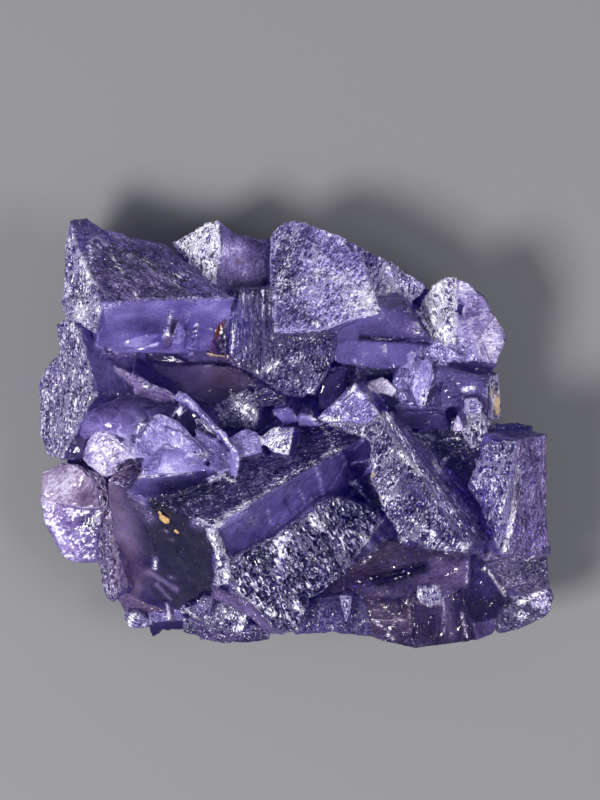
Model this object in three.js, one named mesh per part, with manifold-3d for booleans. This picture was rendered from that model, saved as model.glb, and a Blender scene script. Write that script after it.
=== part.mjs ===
// A fluorite cluster: cubes of deep violet fluorite that grew through each other, broken off
// their rock and lying on the break, with the crystals facing up.
//
// Millimetres. +Z is up, +X runs along the specimen's longest side, and +Y is its far side. The
// origin is the middle of the footprint, on the surface that the specimen lies on. The crystals are
// set out from a level BREAK_LEVEL under that surface.
//
// Every crystal is a prism with one flat main face. The face is given by its outline as seen from
// straight above, by its height over the outline's first point, and by its slope: how much it
// climbs for each millimetre of +X and of +Y. The prism is `deep` mm thick, square to that face,
// so its other faces meet the main face at the right angles of a fluorite cube.
import * as THREE from "three";
import { mergeVertices } from "three/addons/utils/BufferGeometryUtils.js";
import Module from "manifold-3d";

const wasm = await Module();
wasm.setup();

// Driving dimensions, in mm.
const PLATE_LENGTH = [1.3, 3.4];
const PLATE_WIDTH = [0.6, 1.5];
const PLATE_HEIGHT = [0.15, 0.4];
const PLATE_ROOT = 0.6;
const NICK_SIZE = [0.6, 1.3];
const BREAK_LEVEL = 5;
const SPAN = 90;

// The same run of numbers between 0 and 1 on every build.
let seed = 20;
function chance() {
  seed = (seed * 1103515245 + 12345) % 2147483648;
  return seed / 2147483648;
}

function between([low, high]) {
  return low + (high - low) * chance();
}

// A closed three.js geometry as a solid for joining and cutting.
function solidOf(geometry, matrix) {
  const placed = geometry.clone().applyMatrix4(matrix);
  placed.deleteAttribute("normal");
  placed.deleteAttribute("uv");
  const merged = mergeVertices(placed, 1e-4);
  return new wasm.Manifold(
    new wasm.Mesh({
      numProp: 3,
      vertProperties: merged.attributes.position.array,
      triVerts: new Uint32Array(merged.index.array),
    }),
  );
}

// The frame of a sloping face: its origin on the face, its Z square to it.
function faceFrame([x, y], z, [slopeX, slopeY]) {
  const normal = new THREE.Vector3(-slopeX, -slopeY, 1).normalize();
  const along = new THREE.Vector3(1, 0, slopeX).normalize();
  const across = new THREE.Vector3().crossVectors(normal, along);
  return new THREE.Matrix4()
    .makeBasis(along, across, normal)
    .setPosition(x, y, z);
}

function inside(corners, { x, y }) {
  let odd = false;
  corners.forEach((a, i) => {
    const b = corners[(i + 1) % corners.length];
    if (a.y > y !== b.y > y && x < ((b.x - a.x) * (y - a.y)) / (b.y - a.y) + a.x) odd = !odd;
  });
  return odd;
}

const solids = [];
const nicks = [];

// Growth plates: low oblong blocks that stand on a face, all turned the same way.
function addPlates(corners, frame, count, grain) {
  const box = new THREE.Box2().setFromPoints(corners);
  const turn = THREE.MathUtils.degToRad(grain);
  let placed = 0;
  for (let attempt = 0; attempt < count * 12 && placed < count; attempt += 1) {
    const centre = new THREE.Vector2(between([box.min.x, box.max.x]), between([box.min.y, box.max.y]));
    const size = [between(PLATE_LENGTH), between(PLATE_WIDTH)];
    const height = between(PLATE_HEIGHT);
    const plate = new THREE.BoxGeometry(size[0], size[1], height + PLATE_ROOT);
    plate.translate(0, 0, (height - PLATE_ROOT) / 2);
    plate.rotateZ(turn);
    const ends = [[-1, -1], [1, -1], [1, 1], [-1, 1]].map(([a, b]) =>
      new THREE.Vector2((a * size[0]) / 2, (b * size[1]) / 2)
        .rotateAround(new THREE.Vector2(), turn)
        .add(centre),
    );
    if (ends.every((end) => inside(corners, end))) {
      plate.translate(centre.x, centre.y, 0);
      solids.push(solidOf(plate, frame));
      placed += 1;
    }
  }
}

// Nicks: small cube corners knocked out of an edge of a face.
function addNicks(from, to, frame, count) {
  for (let i = 0; i < count; i += 1) {
    const at = from.clone().lerp(to, (i + 0.15 + 0.7 * chance()) / count);
    const size = between(NICK_SIZE);
    const nick = new THREE.BoxGeometry(size * 1.5, size, size);
    nick.rotateX(0.8 * (chance() - 0.5));
    nick.rotateZ(to.clone().sub(from).angle() + 0.6 * (chance() - 0.5));
    nick.translate(at.x, at.y, size * 0.12);
    nicks.push(solidOf(nick, frame));
  }
}

// One crystal. `plates` growth plates lie on its main face along the direction `grain` (degrees
// from +X), and each pair in `worn` is the number of an edge and how many nicks it has.
function crystal(outline, z, slope, deep, { plates = 0, grain = 0, worn = [] } = {}) {
  const frame = faceFrame(outline[0], z, slope);
  const inverse = frame.clone().invert();
  const corners = outline.map(([x, y]) => {
    const dx = x - outline[0][0];
    const dy = y - outline[0][1];
    const onFace = new THREE.Vector3(x, y, z + slope[0] * dx + slope[1] * dy);
    const { x: u, y: v } = onFace.applyMatrix4(inverse);
    return new THREE.Vector2(u, v);
  });
  const body = new THREE.ExtrudeGeometry(new THREE.Shape(corners), {
    depth: deep,
    bevelEnabled: false,
  });
  body.translate(0, 0, -deep);
  solids.push(solidOf(body, frame));
  addPlates(corners, frame, plates, grain);
  worn.forEach(([edge, count]) => {
    addNicks(corners[edge], corners[(edge + 1) % corners.length], frame, count);
  });
}

// The big middle cube: rough roof, a smooth flank on each side of its nearest corner, and the
// rough bevel that runs down from that corner.
crystal([[-10.3, -11.4], [9.3, 0], [4, 8], [-12, 4], [-17, 1], [-23.4, -5.8]], 30, [0.03, -1], 20,
  { plates: 4, grain: 28, worn: [[0, 2]] });
crystal([[-11.4, -11.5], [-9.9, -11.6], [-8.9, -13.4], [-8.1, -16.4], [-8.5, -18.4], [-10.1, -18.5],
  [-9.7, -16], [-10.5, -13.4]], 29.7, [0.1, 0.95], 4, { plates: 2, grain: 95 });

// The stepped block that grew against its right flank, with the bars beside it.
crystal([[-9.4, -17.2], [-7.6, -15], [-3, -12.9], [2.6, -8.7], [5, -7.8], [10, -9.4], [11, -12],
  [9.6, -15], [6, -17.6], [1.6, -20.6], [0.2, -24.6], [-2.6, -24.9], [-5.4, -21.4]],
  25.4, [-0.36, 0.1], 12, { plates: 8, grain: 125, worn: [[2, 1], [12, 1]] });
crystal([[-10.3, -18.6], [-10, -20.4], [-5.6, -22.8], [-3.6, -25], [-1.4, -25.1], [-4, -21.2]],
  24.3, [-0.15, 0.25], 8);
crystal([[-14.2, -22], [-9, -23.6], [-3, -24.4], [-3.4, -25.8], [-6, -26.3], [-9, -26.4], [-12, -26]],
  18.2, [0.1, 0.4], 8);
crystal([[-13.9, -21.8], [-11.2, -20.6], [-8.6, -20.4], [-5.8, -22.7], [-6.6, -24.8], [-11, -24.2]],
  19.6, [0.15, 0.1], 9, { plates: 2, grain: 60 });

// The fins and the banded crystal at the foot of the big cube's smooth flank.
crystal([[-13.2, -22.2], [-11.6, -20.2], [-10.3, -20], [-10.8, -22.8]], 21, [0.3, 0.3], 8);
crystal([[-16.8, -21.4], [-16.4, -21.5], [-16, -23.5], [-16.5, -23.6]], 14.3, [0.3, 0.6], 3);
crystal([[-15.4, -21.3], [-15, -21.3], [-14.5, -23.5], [-15.1, -23.6]], 15, [0.3, 0.6], 3);

// The right-hand rough cube. Its right flank is striped along its ridge.
crystal([[20.8, -14.2], [16, -6.6], [9.4, 3], [7, 6.2], [2.9, 2], [4, 1], [8.9, -0.8], [9.1, -5],
  [10.4, -9], [12.8, -13.4], [17.6, -14.4]],
  29, [0.47, -0.07], 11, { plates: 7, grain: 58, worn: [[0, 1], [1, 1], [6, 1], [9, 1]] });
for (let stripe = 0; stripe < 5; stripe += 1) {
  const out = 0.55 + 0.75 * stripe;
  const z = 28.6 - 1.75 * stripe;
  crystal([[21 + out, -13.2], [16.4 + out, -5.9], [10.2 + out, 2.8], [9.2 + out, 2.2],
    [15.4 + out, -6.6], [20 + out, -14]], z, [0.43, -0.11], 3);
}
// The pale crystal that caps its upper end.
crystal([[2.5, 2], [5, 4.3], [7.1, 6.4], [8.3, 5], [10, 2.2], [8.6, 1], [3.6, 1.2]],
  21.9, [0.3, 0.12], 5, { plates: 2, grain: 45 });

// The long dark facet under it, and the rough shoulder to its right.
crystal([[21, -14.4], [11, -13.4], [2, -19.8], [4.8, -20.4], [11.4, -18.2], [17.4, -15.6]],
  27.6, [0.35, 0.9], 9);
crystal([[22.3, -15.1], [24.8, -14.1], [31, -14.7], [31.6, -19.2], [27.4, -20.4], [25.2, -19.4]],
  24.5, [-0.5, 0.15], 9, { plates: 4, grain: 12, worn: [[4, 1]] });

// The right-hand block, with an upright edge between its rough face and its smooth one.
crystal([[27.1, -0.9], [31, 0], [31.1, -10], [31.8, -15.4], [25.2, -14.8]],
  26.1, [-0.75, 0.15], 7, { worn: [[0, 1], [4, 2]] });
crystal([[27.2, -1.2], [26.4, -9], [25.4, -14.8], [24, -12.6], [22.3, -9], [20.9, -6.5], [22, -4],
  [23.2, -1]], 25.9, [0.55, -0.02], 6, { plates: 4, grain: 4, worn: [[1, 1]] });
crystal([[28.7, 0], [25.4, -0.4], [24.3, 1.2], [27.4, 1.5], [29.6, 1.1]], 20.6, [0.1, -0.9], 6);

// The pocket between the two right-hand cubes, and what stands in it.
crystal([[13, 1.6], [22, 1.8], [24.5, -2], [23.5, -10], [20, -7], [14, -2]],
  17.8, [0.12, 0.1], 8, { plates: 2, grain: 20 });
crystal([[12.4, 2.5], [18.5, 2.2], [18.8, 0], [14.2, 0.6], [12, 1.1]], 20.8, [-0.1, 0.5], 4);
crystal([[20.6, 3.9], [24.4, 1.2], [23.2, -1.2], [21.6, -2.2], [20.2, 0.4]],
  21.2, [-0.15, 0.3], 5, { plates: 3, grain: 15 });
crystal([[19, 0], [19.6, 2.3], [20.4, 0.2]], 21.4, [0.5, 0.6], 3);
crystal([[12.6, 0.2], [16.4, 0], [17.2, -1], [16, -2.2], [13.4, -1.6]], 20.2, [-0.1, 0.1], 3);

// The top middle cube: one face to the left of its top edge, one to the right.
crystal([[-3.4, 24.6], [-2, 26.1], [0, 26.6], [3, 25.6], [6.6, 24], [8.2, 21.8], [9.5, 18],
  [10.1, 14.8], [8, 14.4], [5, 13.4], [2.4, 12.6], [-2.8, 12.4], [-3.2, 18]],
  17.5, [0.06, -0.58], 13, { plates: 5, grain: 72, worn: [[4, 1]] });
crystal([[6.8, 23.9], [12, 21.1], [16.4, 18.1], [14.2, 16.2], [12.5, 15], [9.8, 15]],
  18.4, [-0.35, -0.42], 10, { plates: 4, grain: 60, worn: [[2, 1]] });

// The shelf under it.
crystal([[2.6, 12.9], [8, 15], [13.4, 15.4], [15.4, 13], [17.2, 11], [5, 11.3]], 23.7, [-0.14, 0.5], 8);
crystal([[4.2, 12], [17.2, 11.2], [15.6, 10.2], [13.4, 8.6], [11.4, 8], [5.2, 8.6]], 22.7, [-0.1, 0.12], 8);
crystal([[15.4, 10.6], [13, 8.6], [11.6, 5.4], [14.4, 4.9], [15.4, 8]], 21.6, [-0.05, 0.35], 8,
  { plates: 2, grain: 70 });

// The striped column and the rough apron to the left of the shelf.
crystal([[-8.5, 18], [-3.3, 18.3], [-2.7, 9], [-5, 6.9], [-9, 8.6]], 19, [0.6, -0.05], 9);
for (let stripe = 0; stripe < 4; stripe += 1) {
  const x = -7.5 + 1.15 * stripe;
  crystal([[x, 17.6 - 0.8 * stripe], [x + 0.6, 17.8 - 0.4 * stripe], [x + 0.3, 9 - 0.3 * stripe],
    [x - 0.3, 9.2 - 0.4 * stripe]], 20.1 + 0.7 * stripe, [0.3, -0.02], 2);
}
crystal([[-3.1, 13.4], [2, 13], [4.8, 12], [4.6, 8.8], [2.6, 4.9], [-1, 4.3], [-5.1, 6.7], [-3.9, 11]],
  24.1, [0.06, 0.42], 8, { plates: 4, grain: 75, worn: [[5, 1]] });
crystal([[3.2, 7.6], [6, 8.1], [6.3, 5.2], [4.1, 3.3], [2.8, 4.6]], 20.2, [0.1, 0.3], 4);

// The two crystals at the top left of the column: one rough, one a dark window.
crystal([[-15.9, 23.7], [-13, 25.2], [-11.8, 26.2], [-9.7, 26.4], [-9.8, 22.6], [-10.4, 17.7],
  [-12.2, 19.4]], 15.5, [0.3, -0.3], 9, { plates: 4, grain: 80, worn: [[4, 1]] });
crystal([[-9.6, 26.3], [-8, 25], [-5, 24], [-3.4, 24.2], [-3.4, 16], [-10.3, 17.6]],
  16.4, [-0.15, -0.2], 9);

// The upper left cube: dark rough roof, smooth violet flank under it, bright rough end.
crystal([[-24, 16.2], [-28.6, 26.6], [-26.4, 27], [-24.2, 25.6], [-22, 25.4], [-20.6, 24.6],
  [-19.6, 24.7], [-16.2, 23.6], [-12, 19.7], [-7.6, 16.7]],
  25, [-0.16, -0.98], 9.5, { plates: 5, grain: 118, worn: [[0, 1], [9, 1]] });
crystal([[-24, 16.4], [-28.4, 26.4], [-29.2, 24.4], [-28.9, 21], [-29.2, 17.2],
  [-29, 14.6], [-27, 13.8]], 24.9, [1.2, -0.39], 6, { plates: 4, grain: 100 });
crystal([[-23.8, 15.6], [-25, 16.6], [-29.2, 16.4], [-29.4, 14.4], [-28, 14.3], [-25, 12.1]],
  24.6, [0.8, 0.3], 7, { plates: 2, grain: 40 });
// Fins and a sliver that stand on its smooth flank.
crystal([[-16.4, 10.6], [-15.3, 11.6], [-14.3, 14.2], [-15, 14.4], [-16.6, 12]], 18.4, [0.2, 0.5], 3);
crystal([[-22.2, 10.4], [-17, 10.9], [-17.6, 12], [-20, 12.5], [-22.6, 11.8]], 18, [0, 0.45], 4);

// The left-hand column.
crystal([[-24.9, 4.7], [-25.3, 6.6], [-26.3, 10.2], [-27.3, 13], [-28.3, 14.6], [-30.2, 13.4],
  [-30, 9.8], [-31.8, 8.2], [-32.4, 5.4], [-32.3, 0], [-31.6, -2.8], [-29.6, -3.4], [-27.4, 0.6],
  [-26.4, 2.6]], 22.4, [1, 0.05], 10, { plates: 5, grain: 84, worn: [[0, 1], [12, 1]] });

// The hollow and the curved band that crosses it.
crystal([[-22.6, 9.2], [-8, 8.4], [-4.6, 6.8], [-7, 1], [-14, 3], [-19, 6]], 14, [0.1, -0.12], 8);
crystal([[-25.4, 10], [-22.6, 8.3], [-20, 7.1], [-19.2, 3.9], [-22, 4.7], [-25, 4.6]],
  19.8, [-0.16, 0.35], 8);
crystal([[-20.4, 7.4], [-17.8, 5.8], [-15.2, 4.8], [-14.9, 2.8], [-17, 3.4], [-20, 4.2]],
  19.2, [0.06, 0.55], 8);

// The smooth dome under the band.
const dome = new THREE.SphereGeometry(1, 20, 12);
solids.push(solidOf(dome, new THREE.Matrix4().makeTranslation(-22.2, 1.1, 12)
  .multiply(new THREE.Matrix4().makeScale(6.7, 4.7, 9.8))));
crystal([[-26.4, 0.8], [-24, 0.8], [-25, -1.4], [-26.8, -2.8], [-29, -3.4], [-27.6, -1]],
  18.6, [0.3, 0.1], 8);

// The table to its right: a bright facet, a level one and a dark one that falls away.
crystal([[-17, 2.6], [-14.4, 1.4], [-10.8, -2.4], [-14, -2.6], [-18.8, -2.8], [-20.2, -3], [-19.8, -0.4],
  [-19, 1.2]], 22.3, [0.07, -0.28], 8);
crystal([[-19, -5.1], [-19.1, -3.6], [-16, -1.2], [-14, -2.2], [-9.8, -4.6], [-13, -5.3]],
  24.2, [0.02, -0.1], 8);
crystal([[-16, -7.7], [-18.6, -8], [-21, -6.9], [-19.4, -4.8], [-9.6, -4.4], [-11, -5.7], [-14, -7]],
  26.8, [0.07, -0.91], 1.6);
crystal([[-12.8, 0.6], [-9.8, -0.4], [-8.4, -2.2], [-8.3, -4.4], [-9.6, -5], [-11.6, -2.4]],
  22.2, [0.1, -0.35], 6);

// The blade that stands beside it, and the small fins.
crystal([[-15.4, 4.2], [-14.6, 5], [-13.8, 4.7], [-12, 3.2], [-9, 0.3], [-6.9, -2.2], [-7.1, -4],
  [-7.8, -6.2], [-8.6, -5.8], [-8, -3.8], [-8.3, -2], [-9.8, -0.2], [-12.4, 2.4]],
  23.2, [0.06, -0.05], 8);
crystal([[-15.5, 1.9], [-14.5, 3.2], [-14, 3], [-14.4, 1.8], [-14.8, 2.6]], 24, [0.2, 0.4], 3);
crystal([[-20, -0.5], [-19.4, 1.5], [-18.4, 1], [-19.1, 0.9]], 24.2, [0.3, 0.2], 3);
crystal([[-12.6, 1.6], [-11, 1.6], [-9.8, -0.2], [-12.4, 0]], 21.4, [0.3, 0.35], 5,
  { plates: 1, grain: 135 });

// The pale frosted facet to its left, over the dark cleft.
crystal([[-26.9, -3.6], [-26.2, -1.2], [-25.2, 0], [-23.4, -0.2], [-21, -2.2], [-20, -3], [-22.2, -3.6],
  [-22.2, -4.9], [-24.2, -5.7]], 19.2, [0.56, 0.14], 7, { plates: 2, grain: 30 });

// Chips along the top of the roof of the big cube.
crystal([[-8.2, -0.4], [-6.4, 0.8], [-4.6, 0], [-4.3, -2.3], [-6.8, -3], [-7.6, -1.8]],
  22.4, [0.1, -0.2], 6);
crystal([[-4.9, -0.6], [-2.6, 0.9], [-0.4, 0.9], [-1.1, -2.8], [-3, -2.4]], 22.6, [0.2, -0.25], 6,
  { worn: [[1, 1]] });
crystal([[-3.2, 2.6], [-0.8, 3.2], [0.2, 1.4], [-1.6, 0.8]], 20.6, [0.2, 0.4], 5);
crystal([[0.4, 2.6], [2.4, 2.2], [3.2, 0.8], [0.2, 0.6]], 20.9, [0, 0.4], 5);
crystal([[-10.4, 4], [-6.2, 5.4], [-5, 3.6], [-5, 0.4], [-9, 1]], 17.4, [0.35, -0.1], 7,
  { plates: 4, grain: 50 });
crystal([[-5.6, 6.2], [-1.4, 4.7], [-2, 3], [-5.2, 3.2]], 19.2, [0.2, 0.3], 6,
  { plates: 2, grain: 20 });

// The pale lobe at the left, in two facets, and the rough strip beside it.
crystal([[-32.3, -5.1], [-29.6, -3.8], [-27.3, -3.9], [-25.4, -6], [-24.2, -9.8], [-30, -9],
  [-32.2, -8.8]], 12.6, [0.2, -0.14], 6);
crystal([[-32.2, -8.6], [-24.1, -9.6], [-24.7, -12], [-25, -16.5], [-28.7, -16.5], [-29.9, -15],
  [-31.3, -12]], 12.7, [0.16, 0.12], 6);
crystal([[-26.4, -4.6], [-24.2, -5.8], [-23.2, -10], [-22.4, -16], [-22.2, -20.2], [-23.2, -21.3],
  [-24.2, -19.8], [-25, -16], [-24.6, -10]], 17.4, [0.4, 0.2], 9, { plates: 4, grain: 88 });

// The bottom left corner.
crystal([[-22.8, -18.6], [-13.8, -21], [-14.2, -23.7], [-18, -23.9], [-21.8, -23.5], [-22.7, -21.4]],
  10.8, [0.55, 0.3], 8, { worn: [[3, 1]] });
crystal([[-21.8, -22.8], [-20.2, -22.6], [-18.6, -24], [-19.4, -24.9], [-21.2, -24.7]],
  11.8, [0.5, 0.5], 5, { plates: 1, grain: 150 });
crystal([[-18.8, -23.8], [-14, -23.6], [-13.2, -25.2], [-17, -25.1], [-18.2, -25.9]],
  11.6, [0.2, 0.9], 6);
crystal([[-14.4, -23.4], [-11.6, -23.4], [-9.4, -25.2], [-12, -25.9], [-14.4, -25.2]],
  15.4, [0.2, 0.35], 6, { plates: 1, grain: 10 });

// The upper right knob: rough on its left, smooth and rounded on its right.
crystal([[14.2, 12.8], [15.6, 16.6], [17, 18.6], [18.4, 19.2], [20, 19.1], [20.6, 17], [20, 14],
  [19.4, 11], [17.2, 11.2]], 18.2, [0.5, -0.25], 9, { plates: 4, grain: 105, worn: [[5, 1]] });
crystal([[20, 18.9], [21.6, 18.6], [23.2, 17], [24.8, 14.6], [22.6, 11.4], [19.8, 12.4]],
  20.4, [-0.35, -0.1], 8);
crystal([[24.7, 14.8], [25.8, 12.8], [26.1, 11.2], [25.2, 8.8], [22.6, 9.2], [22.2, 11.2]],
  18.8, [-0.7, 0.1], 8);
crystal([[19.6, 12.8], [23, 11.4], [24.2, 8.4], [18.8, 8.8]], 20.8, [-0.2, 0.25], 8);
crystal([[18, 10.4], [20.5, 9], [24.8, 8.3], [23.4, 6.4], [17.6, 8]], 20.6, [-0.1, 0.7], 7);
crystal([[15, 10.8], [17.4, 11.6], [20.4, 9.4], [17.2, 7.6], [15.2, 7.6]], 20.6, [0.05, 0.2], 7,
  { plates: 1, grain: 60 });

// The blocks under the knob.
crystal([[17.2, 8.3], [23.7, 6.8], [23.8, 2.5], [20.5, 2.9], [16.4, 3.1]], 21, [0.02, 0.2], 8);
crystal([[23.8, 6.4], [25.1, 7.4], [25.6, 4], [25.7, 1.8], [23.6, 1.2]], 17.8, [-0.6, 0.1], 8);
crystal([[14, 5.6], [14.8, 7.8], [16, 9.4], [17, 7.6], [16.2, 5.2], [15.7, 3.2], [14.6, 3.6]],
  20.9, [0.3, -0.1], 6);
crystal([[15.7, 3.2], [16.2, 5.2], [16.9, 7.4], [18, 7.6], [17.6, 3.2]], 20.6, [0.05, -0.06], 6);
crystal([[20.6, 3.9], [22, 4.1], [23, 3], [22.4, 2.1], [21, 2.2]], 21.8, [-0.1, 0.3], 4);
crystal([[9, 6.3], [11, 7], [12.4, 5.3], [11.7, 4.5], [10.2, 5]], 20.8, [-0.1, 0.2], 4);
crystal([[9.2, 4.8], [13.4, 5.4], [16, 3.4], [19.4, 3], [12.4, 1.4], [9.8, 2.4]], 19.4, [0.1, 0.3], 6,
  { plates: 2, grain: 35 });
crystal([[6.4, 8.4], [13.6, 8.9], [14.2, 6.8], [11.4, 6.4], [7.4, 6.6]], 18, [0.1, 0.35], 6,
  { plates: 2, grain: 8 });

// The bottom right corner.
crystal([[21, -15.2], [22.6, -15.3], [24.6, -18], [25.9, -21], [24.9, -23], [22, -23.9],
  [20.4, -22], [20.5, -19]], 24.6, [0.1, 0.5], 9, { worn: [[1, 1]] });
crystal([[17.4, -15.4], [21, -14.6], [21.2, -18.6], [18.6, -20.6], [14.8, -19], [13.4, -17.2]],
  25.6, [0.2, 0.5], 9);
crystal([[13.6, -17.4], [15.2, -18.8], [13.8, -20.4], [8, -20.6], [6.4, -19.6]], 23.4, [0.25, 0.55], 8);
crystal([[15, -18.9], [17.8, -18.6], [18.1, -20.3], [16.6, -21.4], [14.8, -20.4]],
  23.8, [0.1, 0.35], 6, { plates: 2, grain: 20 });
crystal([[2.4, -20.6], [7.6, -20.2], [9.2, -23.2], [9.8, -25.9], [5, -25.1], [-0.4, -25.1], [0.4, -22.4]],
  18.6, [-0.1, 0.4], 9, { plates: 1, grain: 5 });
crystal([[8, -20.2], [14.4, -19.6], [14.8, -26.9], [12.4, -26.5], [9.4, -25.8]],
  18.6, [0.1, 0.35], 9, { plates: 1, grain: 90 });
crystal([[13.4, -19.6], [18.6, -20.2], [18.8, -26.6], [15, -27], [13.6, -26.8]], 19.4, [0.1, 0.4], 9,
  { plates: 1, grain: 85 });
crystal([[5, -20.2], [6.6, -20.4], [6.4, -22.4], [6, -23.6], [5.5, -22.2]], 20, [0.3, 0.35], 4);
crystal([[9.2, -21.6], [12.2, -20.8], [13, -22.8], [9.4, -23.4]], 19.6, [0.2, 0.5], 5);
crystal([[18, -19.8], [20.8, -19.6], [22.4, -25.9], [18.4, -26.7]], 19.8, [0.1, 0.4], 9);
crystal([[21.2, -21.8], [25, -22.4], [24.8, -24.8], [22.2, -25.8]], 18.8, [-0.1, 0.3], 8);
crystal([[25, -20.6], [27.4, -20.2], [31.7, -19.2], [32.1, -20.6], [31.8, -22], [31, -23.3],
  [28, -24.6], [25, -25.2]], 18.2, [-0.25, 0.3], 8, { plates: 3, grain: 165, worn: [[0, 1]] });

// The broken body under them all: lumps that lean different ways.
crystal([[-28.4, 6], [-29.4, -8], [-23, -17], [-10, -21], [-4, 4], [-20, 12]], 12, [0.12, 0.12], 30);
crystal([[-27.6, 10], [-25, 22], [-12, 23], [-2, 22], [0, 4], [-20, 2]], 12, [0.1, -0.15], 30);
crystal([[-16, -22.4], [-2, -24], [12, -24.6], [16, 0], [-8, 4]], 12.5, [0.04, 0.1], 30);
crystal([[8, -24], [20, -25], [30, -21.6], [29.6, -6], [28, 0], [8, 2]], 13.5, [-0.12, 0.08], 30);
crystal([[24.6, 8], [24, 1], [10, -8], [-6, 0], [-4, 23.4], [4, 24], [14, 18.6], [22, 16.4]],
  12.5, [-0.1, -0.08], 30);

crystal([[3, 3], [24.4, 2.2], [24.2, 9], [17, 14.6], [8, 14], [3, 9]], 17.6, [0, 0.02], 12);
crystal([[-27, -3], [-25, 3], [-14, 3.4], [-8, -2], [-9, -5], [-24, -5]], 19.4, [0.06, -0.02], 12);

const cluster = solids.reduce((whole, next) => whole.add(next));
const worn = nicks.reduce((whole, nick) => whole.subtract(nick), cluster);
const above = new THREE.BoxGeometry(SPAN, SPAN, SPAN);
const lying = worn.intersect(
  solidOf(above, new THREE.Matrix4().makeTranslation(0, 0, BREAK_LEVEL + SPAN / 2)),
);
// Only the outer skin is kept, so the body is solid right through.
const whole = lying.decompose().reduce((a, b) => (a.volume() > b.volume() ? a : b));

const skin = whole.getMesh();
const geometry = new THREE.BufferGeometry()
  .setAttribute("position", new THREE.BufferAttribute(new Float32Array(skin.vertProperties), 3))
  .setIndex(new THREE.BufferAttribute(new Uint32Array(skin.triVerts), 1));

geometry.computeBoundingBox();
const middle = geometry.boundingBox.getCenter(new THREE.Vector3());
geometry.translate(-middle.x, -middle.y, -BREAK_LEVEL);

const fluorite = new THREE.MeshStandardMaterial({
  color: "#4a3f86",
  roughness: 0.25,
  metalness: 0,
});
const body = new THREE.Mesh(geometry, fluorite);
body.name = "fluorite_cluster";

const specimen = new THREE.Group();
specimen.add(body);

export default specimen;
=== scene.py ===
"""A fluorite cluster: its etched, striped and glassy skin, its iron oxide grains, and the stage."""

import math

import bmesh
import bpy
import numpy as np
from bpy.props import FloatProperty, FloatVectorProperty, IntProperty, PointerProperty
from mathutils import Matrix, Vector
from mathutils.bvhtree import BVHTree
from mathutils.kdtree import KDTree


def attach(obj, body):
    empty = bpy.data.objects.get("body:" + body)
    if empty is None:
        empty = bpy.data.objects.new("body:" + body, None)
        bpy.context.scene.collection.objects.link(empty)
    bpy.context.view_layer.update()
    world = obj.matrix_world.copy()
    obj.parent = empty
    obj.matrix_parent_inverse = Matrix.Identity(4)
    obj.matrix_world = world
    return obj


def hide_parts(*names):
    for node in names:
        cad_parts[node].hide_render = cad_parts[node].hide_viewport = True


bl_info = {
    "name": "Fluorite cluster",
    "version": (1, 0, 0),
    "blender": (4, 5, 0),
    "location": "3D View > Sidebar > Fluorite",
    "description": "Builds the skin of a fluorite cluster around its packed solid",
    "category": "Object",
}

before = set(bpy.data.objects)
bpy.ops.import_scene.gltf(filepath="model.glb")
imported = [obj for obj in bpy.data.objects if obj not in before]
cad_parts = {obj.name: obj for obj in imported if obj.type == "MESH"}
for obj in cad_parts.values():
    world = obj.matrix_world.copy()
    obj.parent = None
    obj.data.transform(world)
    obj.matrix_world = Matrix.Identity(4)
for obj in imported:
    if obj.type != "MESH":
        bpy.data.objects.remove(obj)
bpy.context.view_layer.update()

MM = 0.001
NODE = "fluorite_cluster"
# Where the crystals' own layout has its zero, in the frame, in mm.
LAYOUT_ZERO = np.array([0.15, 0.0, -5.0])


def srgb(code):
    """An sRGB hex colour as linear red, green and blue."""
    parts = [int(code[i : i + 2], 16) / 255 for i in (1, 3, 5)]
    return tuple(c / 12.92 if c <= 0.04045 else ((c + 0.055) / 1.055) ** 2.4 for c in parts)


# ------------------------------------------------------------------ settings


class FluoriteSkin(bpy.types.PropertyGroup):
    """Sizes and colours of the crystals."""

    pitch: FloatProperty(
        name="Skin pitch",
        description="Distance between neighbouring points of the skin",
        default=0.22 * MM,
        unit="LENGTH",
        subtype="DISTANCE",
    )
    step_height: FloatProperty(
        name="Step height",
        description="Height of the largest growth steps on an etched face",
        default=0.42 * MM,
        unit="LENGTH",
        subtype="DISTANCE",
    )
    rib_pitch: FloatProperty(
        name="Rib pitch",
        description="Distance between the ribs on a striped face",
        default=0.55 * MM,
        unit="LENGTH",
        subtype="DISTANCE",
    )
    faces: IntProperty(
        name="Most faces",
        description="The skin is thinned to about this many triangles",
        default=190000,
    )
    depth_colour: FloatVectorProperty(
        name="Body colour",
        description="What light keeps on its way through the crystal",
        subtype="COLOR",
        default=srgb("#8f67df"),
    )
    depth: FloatProperty(
        name="Body depth",
        description="How strongly each metre of crystal drinks light",
        default=110.0,
    )
    bend: FloatProperty(
        name="Bend",
        description="How far the crystals' faces and edges wander from true",
        default=0.2 * MM,
        unit="LENGTH",
        subtype="DISTANCE",
    )
    chip: FloatProperty(
        name="Chipping",
        description="Depth of the chips along the sharp edges",
        default=0.85 * MM,
        unit="LENGTH",
        subtype="DISTANCE",
    )
    seed: IntProperty(name="Seed", description="Changes the etching", default=7)


class FluoriteStage(bpy.types.PropertyGroup):
    """The floor, the lights and the camera."""

    floor_colour: FloatVectorProperty(
        name="Floor colour",
        description="Colour of the plain floor",
        subtype="COLOR",
        default=srgb("#7c7c7e"),
    )
    camera_height: FloatProperty(
        name="Camera height",
        description="Height of the camera over the middle of the crystals",
        default=0.5,
        unit="LENGTH",
        subtype="DISTANCE",
    )
    key_power: FloatProperty(
        name="Key light", description="Power of the key light", default=4.5, unit="POWER"
    )
    fill_power: FloatProperty(
        name="Fill light", description="Power of the fill light", default=1.8, unit="POWER"
    )


# ------------------------------------------------------------------ finishes

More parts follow.
